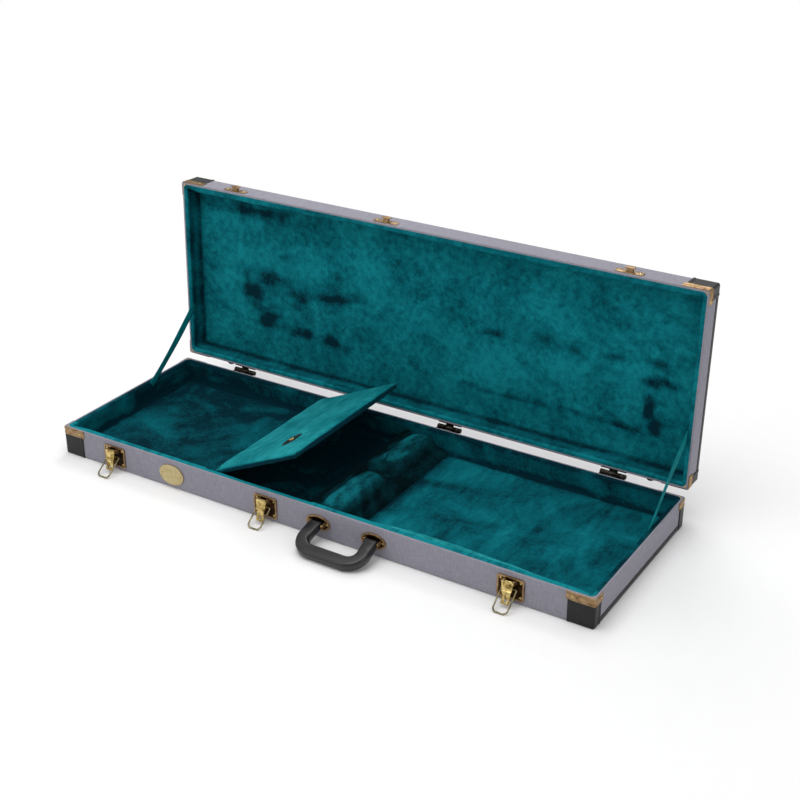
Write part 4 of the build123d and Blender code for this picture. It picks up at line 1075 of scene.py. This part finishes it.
        # The rest takes the darker plush copy as painted shade; its pile gets more painted shade on the ledge
        # under the compartment lid and in the low parts and crease, painted light and shade along the folds,
        # and painted light near the crown.
        rest = slab("neck_rest_plush", REST_X + (-SOFT_HALF_Y, SOFT_HALF_Y, FLOOR - 0.5), base_place,
                    "plush_painted_shade", rest_top, spacing=3.6, rim=3.5)
        puff(rest, 4.0, 4.0, sizes.fill / MM, lambda p: p.z < FLOOR + 1.0 or p.x < 4.0)
        brush_and_paint_shade(rest, "base", lambda x, y, h: 0.62 if x < 3.0 else
              0.24 * (1 - hump(x, y)) - 0.12 * fold(x, y) - 0.14 * near(52.0 - h, 14.0))
        settle(rest, "base", ("neck_rest",))

        box = (PANEL_X - 6.4, PANEL_X, -SOFT_HALF_Y, SOFT_HALF_Y, FLOOR - 0.5)
        # The partition takes the darker plush copy with more darkness on top, as painted shade.
        board = slab("partition_plush", box, base_place, "plush_painted_shade", lambda x, y: 42.7, spacing=1.4, rim=1.6)
        brush_and_paint_shade(board, "base", lambda x, y, h: 0.35)
        settle(board, "base", ("compartment_partition",))
        return {"FINISHED"}


class CASE_OT_compartment_lid(bpy.types.Operator):
    """The accessory compartment's padded lid, its cloth hinge, leather tab and button"""
    bl_idname = "case.compartment_lid"
    bl_label = "Compartment lid"

    def execute(self, context):
        def drawn_in(x, y, h):
            """The cover pulls the corners in, more at the free edge."""
            mid = PANEL_WIDTH / 2
            bow = ((x - mid) / mid) ** 4 if x > mid else 0.0
            pinch = (y / PANEL_HALF_Y) ** 4
            return panel_place(x - 2.5 * bow * pinch, y * (1 - 0.012 * bow), h)

        def outline_inset(x, y):
            """How near a point is to the board's edge."""
            return min(x, PANEL_WIDTH - x, y + PANEL_HALF_Y, PANEL_HALF_Y - y)

        def crown(x, y):
            inset = max(0.0, outline_inset(x, y))
            dome = 1 - exp(-inset / 14.0)
            return PANEL_THICK + 1.8 + 2.2 * dome + 0.6 * soft_noise(x, y, 4.0, 42.0)

        # The board takes the lighter plush copy on top as painted light.
        board = slab("compartment_lid_plush", (0.0, PANEL_WIDTH, -PANEL_HALF_Y, PANEL_HALF_Y, 0.2), drawn_in,
                     "plush_painted_lit", crown, spacing=4.0, rim=3.6)
        turn = radians(PANEL_OPEN)

        def above(x, z):
            """Height over the board's underside."""
            return (z - PANEL_Z) * cos(turn) - (x - PANEL_X) * sin(turn)

        puff(board, 3.2, 2.5, 1.4, lambda p: above(p.x, p.z) < 1.2)

        def board_painted_shade(x, y, z):
            """Painted shade on the sides and underneath; palest along the hinge."""
            across = (x - PANEL_X) * cos(turn) + (z - PANEL_Z) * sin(turn)
            h = above(x, z)
            return 0.46 * near(h - 4.0, 6.5) - 0.10 * near(across, 60.0) + 0.06 * soft_noise(x, y, z, 35.0)

        brush_and_paint_shade(board, "base", board_painted_shade)
        # The sides and underside take the plain plush, darker than the top, as painted shade.
        paint_shade_faces(board, "plush", lambda c, n: above(c.x, c.z) < 7.6)
        settle(board, "compartment_lid", ("compartment_lid",))

        # Cloth hinge: a strip from the partition's side, over its top and onto the lid
        rows = []
        strip = [(-5.6, -9.0), (-5.9, -3.0), (-5.0, 0.6), (-2.6, 1.3), (0.0, 1.0)]
        lifted = [(2.0, PANEL_THICK * 0.7), (6.0, PANEL_THICK + 2.7), (12.0, PANEL_THICK + 3.6)]
        for k in range(41):
            y = -CLOTH_HINGE_LONG / 2 + CLOTH_HINGE_LONG * k / 40
            row = [Vector((PANEL_X + x, y, PANEL_Z + h)) for x, h in strip]
            row += [panel_place(x, y, h) for x, h in lifted]
            rows.append(row)
        points = [p for row in rows for p in row]
        # The hinge takes the lighter plush copy as painted light.
        hinge = new_piece("compartment_cloth_hinge", points, grid(len(rows), len(rows[0])), "plush_painted_lit",
                          outward=False)
        modify(hinge, "SUBSURF", levels=2, render_levels=2)
        modify(hinge, "SOLIDIFY", thickness=0.8 * MM, offset=0.0)
        flatten(hinge)
        hinge.data.shade_smooth()
        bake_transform(hinge)

        # Leather tab: an eye shape, its edge turned down, held by the button
        points, faces = [], []
        rings = ((1.0, 2.6), (0.97, 5.2), (0.86, 5.7), (0.5, 5.6), (0.0, 5.4))
        steps = 40
        for scale, h in rings:
            if scale == 0.0:
                points.append(panel_place(TAB_X, TAB_Y, PANEL_THICK + h))
                continue
            for k in range(steps):
                turn = 2 * pi * k / steps
                long, wide = 27.0 * sin(turn), 11.5 * cos(turn) * abs(cos(turn)) ** 0.15
                points.append(panel_place(TAB_X + wide * scale, TAB_Y + long * scale, PANEL_THICK + h))
        for ring in range(len(rings) - 2):
            for k in range(steps):
                a, b = ring * steps + k, ring * steps + (k + 1) % steps
                faces.append((a, b, b + steps, a + steps))
        first, tip = (len(rings) - 2) * steps, len(points) - 1
        faces += [(first + k, first + (k + 1) % steps, tip) for k in range(steps)]
        faces.append(tuple(range(steps)))
        tab = new_piece("pull_tab_leather", points, faces, "leather", smooth=50)
        settle(tab, "compartment_lid", ("compartment_pull_tab",))
        button = cad_copy("compartment_pull_button", "pull_button_brass", "bright_brass", bevel=0)
        for vertex in button.data.vertices:
            vertex.co += heading(panel_place, 0, 0, 4.0) * MM
        settle(button, "compartment_lid", ("compartment_pull_button",))
        return {"FINISHED"}


class CASE_OT_stays(bpy.types.Operator):
    """The two ribbons that stop the lid, each from the base's lining to the lid's"""
    bl_idname = "case.stays"
    bl_label = "Ribbon stays"

    def execute(self, context):
        low, high = Vector(STAY_LOW), Vector(STAY_HIGH)
        run = high - low
        across = Vector((0, -run.z, run.y)).normalized()
        for side, x in (("left", -RIBBON_X), ("right", RIBBON_X)):
            inward = 1 if x < 0 else -1
            points, uvs = [], []
            steps, wide = 60, 6
            for i in range(steps + 1):
                t = i / steps
                sag = 1.8 * sin(pi * t) * inward
                twist = 0.10 * sin(2 * pi * t)
                for k in range(wide + 1):
                    s = RIBBON_WIDE * (k / wide - 0.5)
                    p = low + run * t + across * s * cos(twist)
                    points.append((x + sag + s * sin(twist), p.y, p.z - 1.2 * sin(pi * t)))
            faces = grid(steps + 1, wide + 1)
            for v in (v for face in faces for v in face):
                r, c = divmod(v, wide + 1)
                uvs.append((r / steps * run.length * MM, c / wide * RIBBON_WIDE * MM))
            ribbon = new_piece(f"ribbon_stay_{side}", points, faces, "ribbon", uvs, outward=False)
            modify(ribbon, "SOLIDIFY", thickness=0.9 * MM, offset=0.0)
            flatten(ribbon)
            ribbon.data.shade_smooth()
            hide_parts(f"stay_{side}")
            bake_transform(ribbon)
        return {"FINISHED"}


# Corners

class CASE_OT_corners(bpy.types.Operator):
    """Brass clamps at the rims, stitched leatherette patches behind them, and the binding of the ends"""
    bl_idname = "case.corners"
    bl_label = "Corner hardware"

    def execute(self, context):
        sizes = context.scene.case_sizes
        bead = sizes.bead / MM
        for body, (label, place, rim) in SHELLS.items():
            low = rim - CLAMP_TALL
            clamps, patches, seams, spots = [], [], [], []
            for sx in (-1, 1):
                for sy in (-1, 1):
                    # Clamp: sheet brass with a turned edge, two pressed beads and a hollow between them
                    face = [(0.25, low), (0.9, low + 0.1), (1.2, low + 0.6), (1.2, low + 1.4),
                            (1.2 + bead, low + 2.4), (1.2, low + 3.4), (1.0, low + 7.2), (1.2, low + 10.6),
                            (1.2 + bead, low + 11.6), (1.2, low + 12.6), (1.2, low + 13.8), (0.9, low + 14.4),
                            (0.25, low + CLAMP_TALL)]
                    back = [(0.0, low + CLAMP_TALL), (0.0, low)]
                    path = corner_path(sx, sy, *CLAMP_LEGS, spacing=3.0)
                    clamps.append(sweep(f"clamp_{sx}_{sy}", path, face + back, place, "antique_brass",
                                        closed=False, smooth=50))
                    # Patch: leatherette down the wall, over the edge and under the case
                    def hemmed(x, y, out, h):
                        """Raises the turned hem along both upright edges."""
                        edge = min(HALF_X - abs(x), PATCH_LEGS[0])
                        long = abs(y) > HALF_Y - 4
                        inner = (PATCH_LEGS[0] - edge) if long else (abs(y) - (HALF_Y - PATCH_LEGS[1]))
                        if out > 0.4 and inner < 5.0:
                            out += 0.9 * sin(pi * clamp((inner + 0.4) / 5.4))
                        return out, h
                    r = 2.4
                    face = [(0.9, low + 0.6), (1.0, low - 4), (1.0, low * 0.62), (1.0, low * 0.4),
                            (1.0, r + 3), (1.0, r)]
                    face += [(1.0 - r + r * cos(radians(a)), r - r * sin(radians(a))) for a in (30, 60, 90)]
                    face += [(-12.0, 0.0), (-12.0, 0.9), (-1.0, 0.9), (0.0, 2.0), (0.0, low + 0.6)]
                    path = corner_path(sx, sy, *PATCH_LEGS, spacing=1.6)
                    patches.append(sweep(f"patch_{sx}_{sy}", path, face, place, "leatherette",
                                         closed=False, smooth=55, alter=hemmed))
                    front_y, end_x = sy * (HALF_Y + 1.15), sx * (HALF_X + 1.15)
                    seams.append([place(sx * (HALF_X - 37.6), front_y, h) for h in (3.5, low - 1.5)])
                    seams.append([place(end_x, sy * (HALF_Y - 14.6), h) for h in (3.5, low - 1.5)])
                    middle = low + CLAMP_TALL / 2
                    spots.append((place(sx * (HALF_X - 36.0), sy * (HALF_Y + 1.2), middle),
                                  heading(place, 0, sy, 0)))
                    spots.append((place(sx * (HALF_X + 1.2), sy * (HALF_Y - 19.0), middle),
                                  Vector((sx, 0, 0))))
            settle(join(clamps, f"{label}_clamps_brass"), body, (f"{label}_corner_clamps",))
            settle(join(patches, f"{label}_patches_leatherette"), body,
                   (f"{label}_corner_patches",))
            sewn = stitches(f"{label}_patch_stitches", seams, sizes.pitch / MM)
            settle(sewn, body)
            spots += [(place(x + dx, HALF_Y + 1.5, rim - 13.0 + dz), heading(place, 0, 1, 0))
                      for x in HINGES for dx in (-16, 16) for dz in (-5, 5)]
            rivets(f"{label}_rivet_heads", f"{label}_rivets", spots, body, 1.9, 1.2)
            strips = []
            for sx in (-1, 1):
                path = [((sx * HALF_X, -HALF_Y + 20 + (WIDTH - 40) * k / 60), (float(sx), 0.0))
                        for k in range(61)]
                face = [(0.1, 10.5), (0.6, 10.4), (0.8, 9.8), (0.8, 6.0), (0.8, 2.2), (0.2, 0.7),
                        (-1.4, 0.0), (-10.0, 0.0), (-10.0, 0.8), (-1.0, 0.9), (0.0, 2.2), (0.0, 10.5)]
                strips.append(sweep(f"strip_{sx}", path, face, place, "leatherette", closed=False, smooth=50))
            settle(join(strips, f"{label}_binding_strips"), body, (f"{label}_end_strips",))
        return {"FINISHED"}


def join(parts, name):
    """Several meshes of one finish as one piece."""
    merged = bmesh.new()
    for part in parts:
        merged.from_mesh(part.data)
    target = parts[0]
    merged.to_mesh(target.data)
    merged.free()
    for part in parts[1:]:
        mesh = part.data
        bpy.data.objects.remove(part)
        bpy.data.meshes.remove(mesh)
    target.name = target.data.name = name
    return target


# Latches, handle, badge, hinges

def in_hollow(centre, normal):
    """Whether a face of a front plate is the floor of its dished middle."""
    return PLATE_Y - 0.2 < centre.y < PLATE_Y + 0.2 and normal.y < -0.9


def front_spot(x, z, y=PLATE_Y):
    """A rivet's place on the front, facing forward."""
    return Vector((x, y, z)), Vector((0, -1, 0))


def dress(node, name, finish, body, slot, dark=None, **edges):
    """A finished copy of a hard CAD piece in its place. dark picks the faces that take the near-black brass,
    as painted shade and a painted dark reflection.
    """
    piece = cad_copy(node, name, finish, **edges)
    if dark:
        paint_shade_faces(piece, "brass_painted_shade", dark)
    return settle(piece, body, (node,))


class CASE_OT_latches(bpy.types.Operator):
    """Three draw latches with their wire bails, and the catches on the lid"""
    bl_idname = "case.latches"
    bl_label = "Latches"

    def execute(self, context):
        spots = []
        for side, x in LATCHES.items():
            # The plates' dished middles take the near-black brass: painted shade and a painted dark reflection.
            dress(f"latch_{side}_plate", f"latch_plate_{side}", "antique_brass", "base", "antique_brass",
                  dark=in_hollow, bevel=0.5, steps=3)
            dress(f"latch_{side}_lever", f"latch_lever_{side}", "bright_brass", f"lever_{side}",
                  "bright_brass", bevel=0.4)
            dress(f"latch_{side}_bail", f"latch_bail_{side}", "wire_brass", f"bail_{side}",
                  "bright_brass", bevel=0, smooth=60)
            spots += [front_spot(x + dx, 26.0 + dz) for dx in (-17, 17) for dz in (-13, 13)]
        rivets("latch_rivet_heads", "latch_rivets", spots, "base", 1.9, 1.1)
        dress("latch_pivot_pins", "latch_pins_brass", "bright_brass", "base", "bright_brass", bevel=0.3)
        dress("catches", "catches_brass", "antique_brass", "case_lid", "antique_brass", bevel=0.45, steps=3)
        low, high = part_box("catch_rivets")
        middle, out = (Vector(low) + Vector(high)) / 2 / MM, heading(lid_place, 0, -1, 0)
        spots = [(Vector((x + dx, middle.y, middle.z)) - out * 0.45, out)
                 for x in LATCHES.values() for dx in (-18, 18)]
        rivets("catch_rivet_heads", "catch_rivets", spots, "case_lid", 1.9, 1.1)
        return {"FINISHED"}


class CASE_OT_handle(bpy.types.Operator):
    """The moulded grip, its pins and its two dished oval plates"""
    bl_idname = "case.handle"
    bl_label = "Handle"

    def execute(self, context):
        spots = []
        for side, x in HANDLE_PLATES.items():
            # The plates' dished middles take the near-black brass: painted shade and a painted dark reflection.
            dress(f"handle_{side}_plate", f"handle_plate_{side}", "antique_brass", "base", "antique_brass",
                  dark=in_hollow, bevel=0.5, steps=3)
            spots += [front_spot(x + dx, 28.0) for dx in (-17.25, 17.25)]
        rivets("handle_rivet_heads", "handle_rivets", spots, "base", 1.8, 1.1)
        dress("handle_grip", "handle_grip_vinyl", "grip", "handle", "grip",
              bevel=0.8, steps=3, angle=40, smooth=40)
        dress("handle_pins", "handle_pins_steel", "bright_brass", "base", "dark_steel", bevel=0.3)
        return {"FINISHED"}


class CASE_OT_badge(bpy.types.Operator):
    """The oval badge, left bare"""
    bl_idname = "case.badge"
    bl_label = "Badge"

    def execute(self, context):
        dress("badge_plate", "badge_plate_brass", "badge_brass", "base", "bright_brass", bevel=0.4, steps=3)
        spots = [front_spot(BADGE_X + dx, 26.0, y=-172.6) for dx in (-20.5, 20.5)]
        rivets("badge_pin_heads", "badge_pins", spots, "base", 1.3, 0.9)
        return {"FINISHED"}


class CASE_OT_hinges(bpy.types.Operator):
    """Hinge leaves and pins, and the domed feet on the spine"""
    bl_idname = "case.hinges"
    bl_label = "Hinges and feet"

    def execute(self, context):
        for body, (label, _, _) in SHELLS.items():
            # The brass hinge leaves take the near-black steel finish as painted shade, where they sit in the
            # gap between the shells.
            dress(f"hinge_{label}_leaves", f"hinge_leaves_{label}", "steel_and_painted_shade", body, "antique_brass", bevel=0.3)
        dress("hinge_pins", "hinge_pins_steel", "steel_and_painted_shade", "base", "dark_steel", bevel=0.3)
        for body, (label, _, _) in SHELLS.items():
            dress(f"{label}_spine_feet", f"spine_feet_{label}", "rubber", body, "foot", bevel=0, smooth=50)
        return {"FINISHED"}


class CASE_PT_panel(bpy.types.Panel):
    """Lists the case's pieces in the sidebar"""
    bl_idname = "CASE_PT_panel"
    bl_label = "Guitar Case"
    bl_space_type = "VIEW_3D"
    bl_region_type = "UI"
    bl_category = "Guitar Case"

    def draw(self, context):
        for group in (context.scene.case_colours, context.scene.case_sizes):
            for name in group.__annotations__:
                self.layout.prop(group, name)
        for step in STEPS:
            self.layout.operator(step.bl_idname)


STEPS = (CASE_OT_stage, CASE_OT_covers, CASE_OT_linings, CASE_OT_compartment_lid, CASE_OT_stays,
         CASE_OT_corners, CASE_OT_latches, CASE_OT_handle, CASE_OT_badge, CASE_OT_hinges)
CLASSES = (CaseColours, CaseSizes) + STEPS + (CASE_PT_panel,)


def register():
    for item in CLASSES:
        bpy.utils.register_class(item)
    bpy.types.Scene.case_colours = bpy.props.PointerProperty(type=CaseColours)
    bpy.types.Scene.case_sizes = bpy.props.PointerProperty(type=CaseSizes)


def unregister():
    del bpy.types.Scene.case_colours
    del bpy.types.Scene.case_sizes
    for item in reversed(CLASSES):
        bpy.utils.unregister_class(item)


def main():
    register()
    make_materials(bpy.context.scene.case_colours)
    TREES["rivets"] = rivet_tree()
    TREES["stitches"] = stitch_tree()
    for step in STEPS:
        group, name = step.bl_idname.split(".")
        getattr(getattr(bpy.ops, group), name)()


if __name__ == "__main__":
    main()
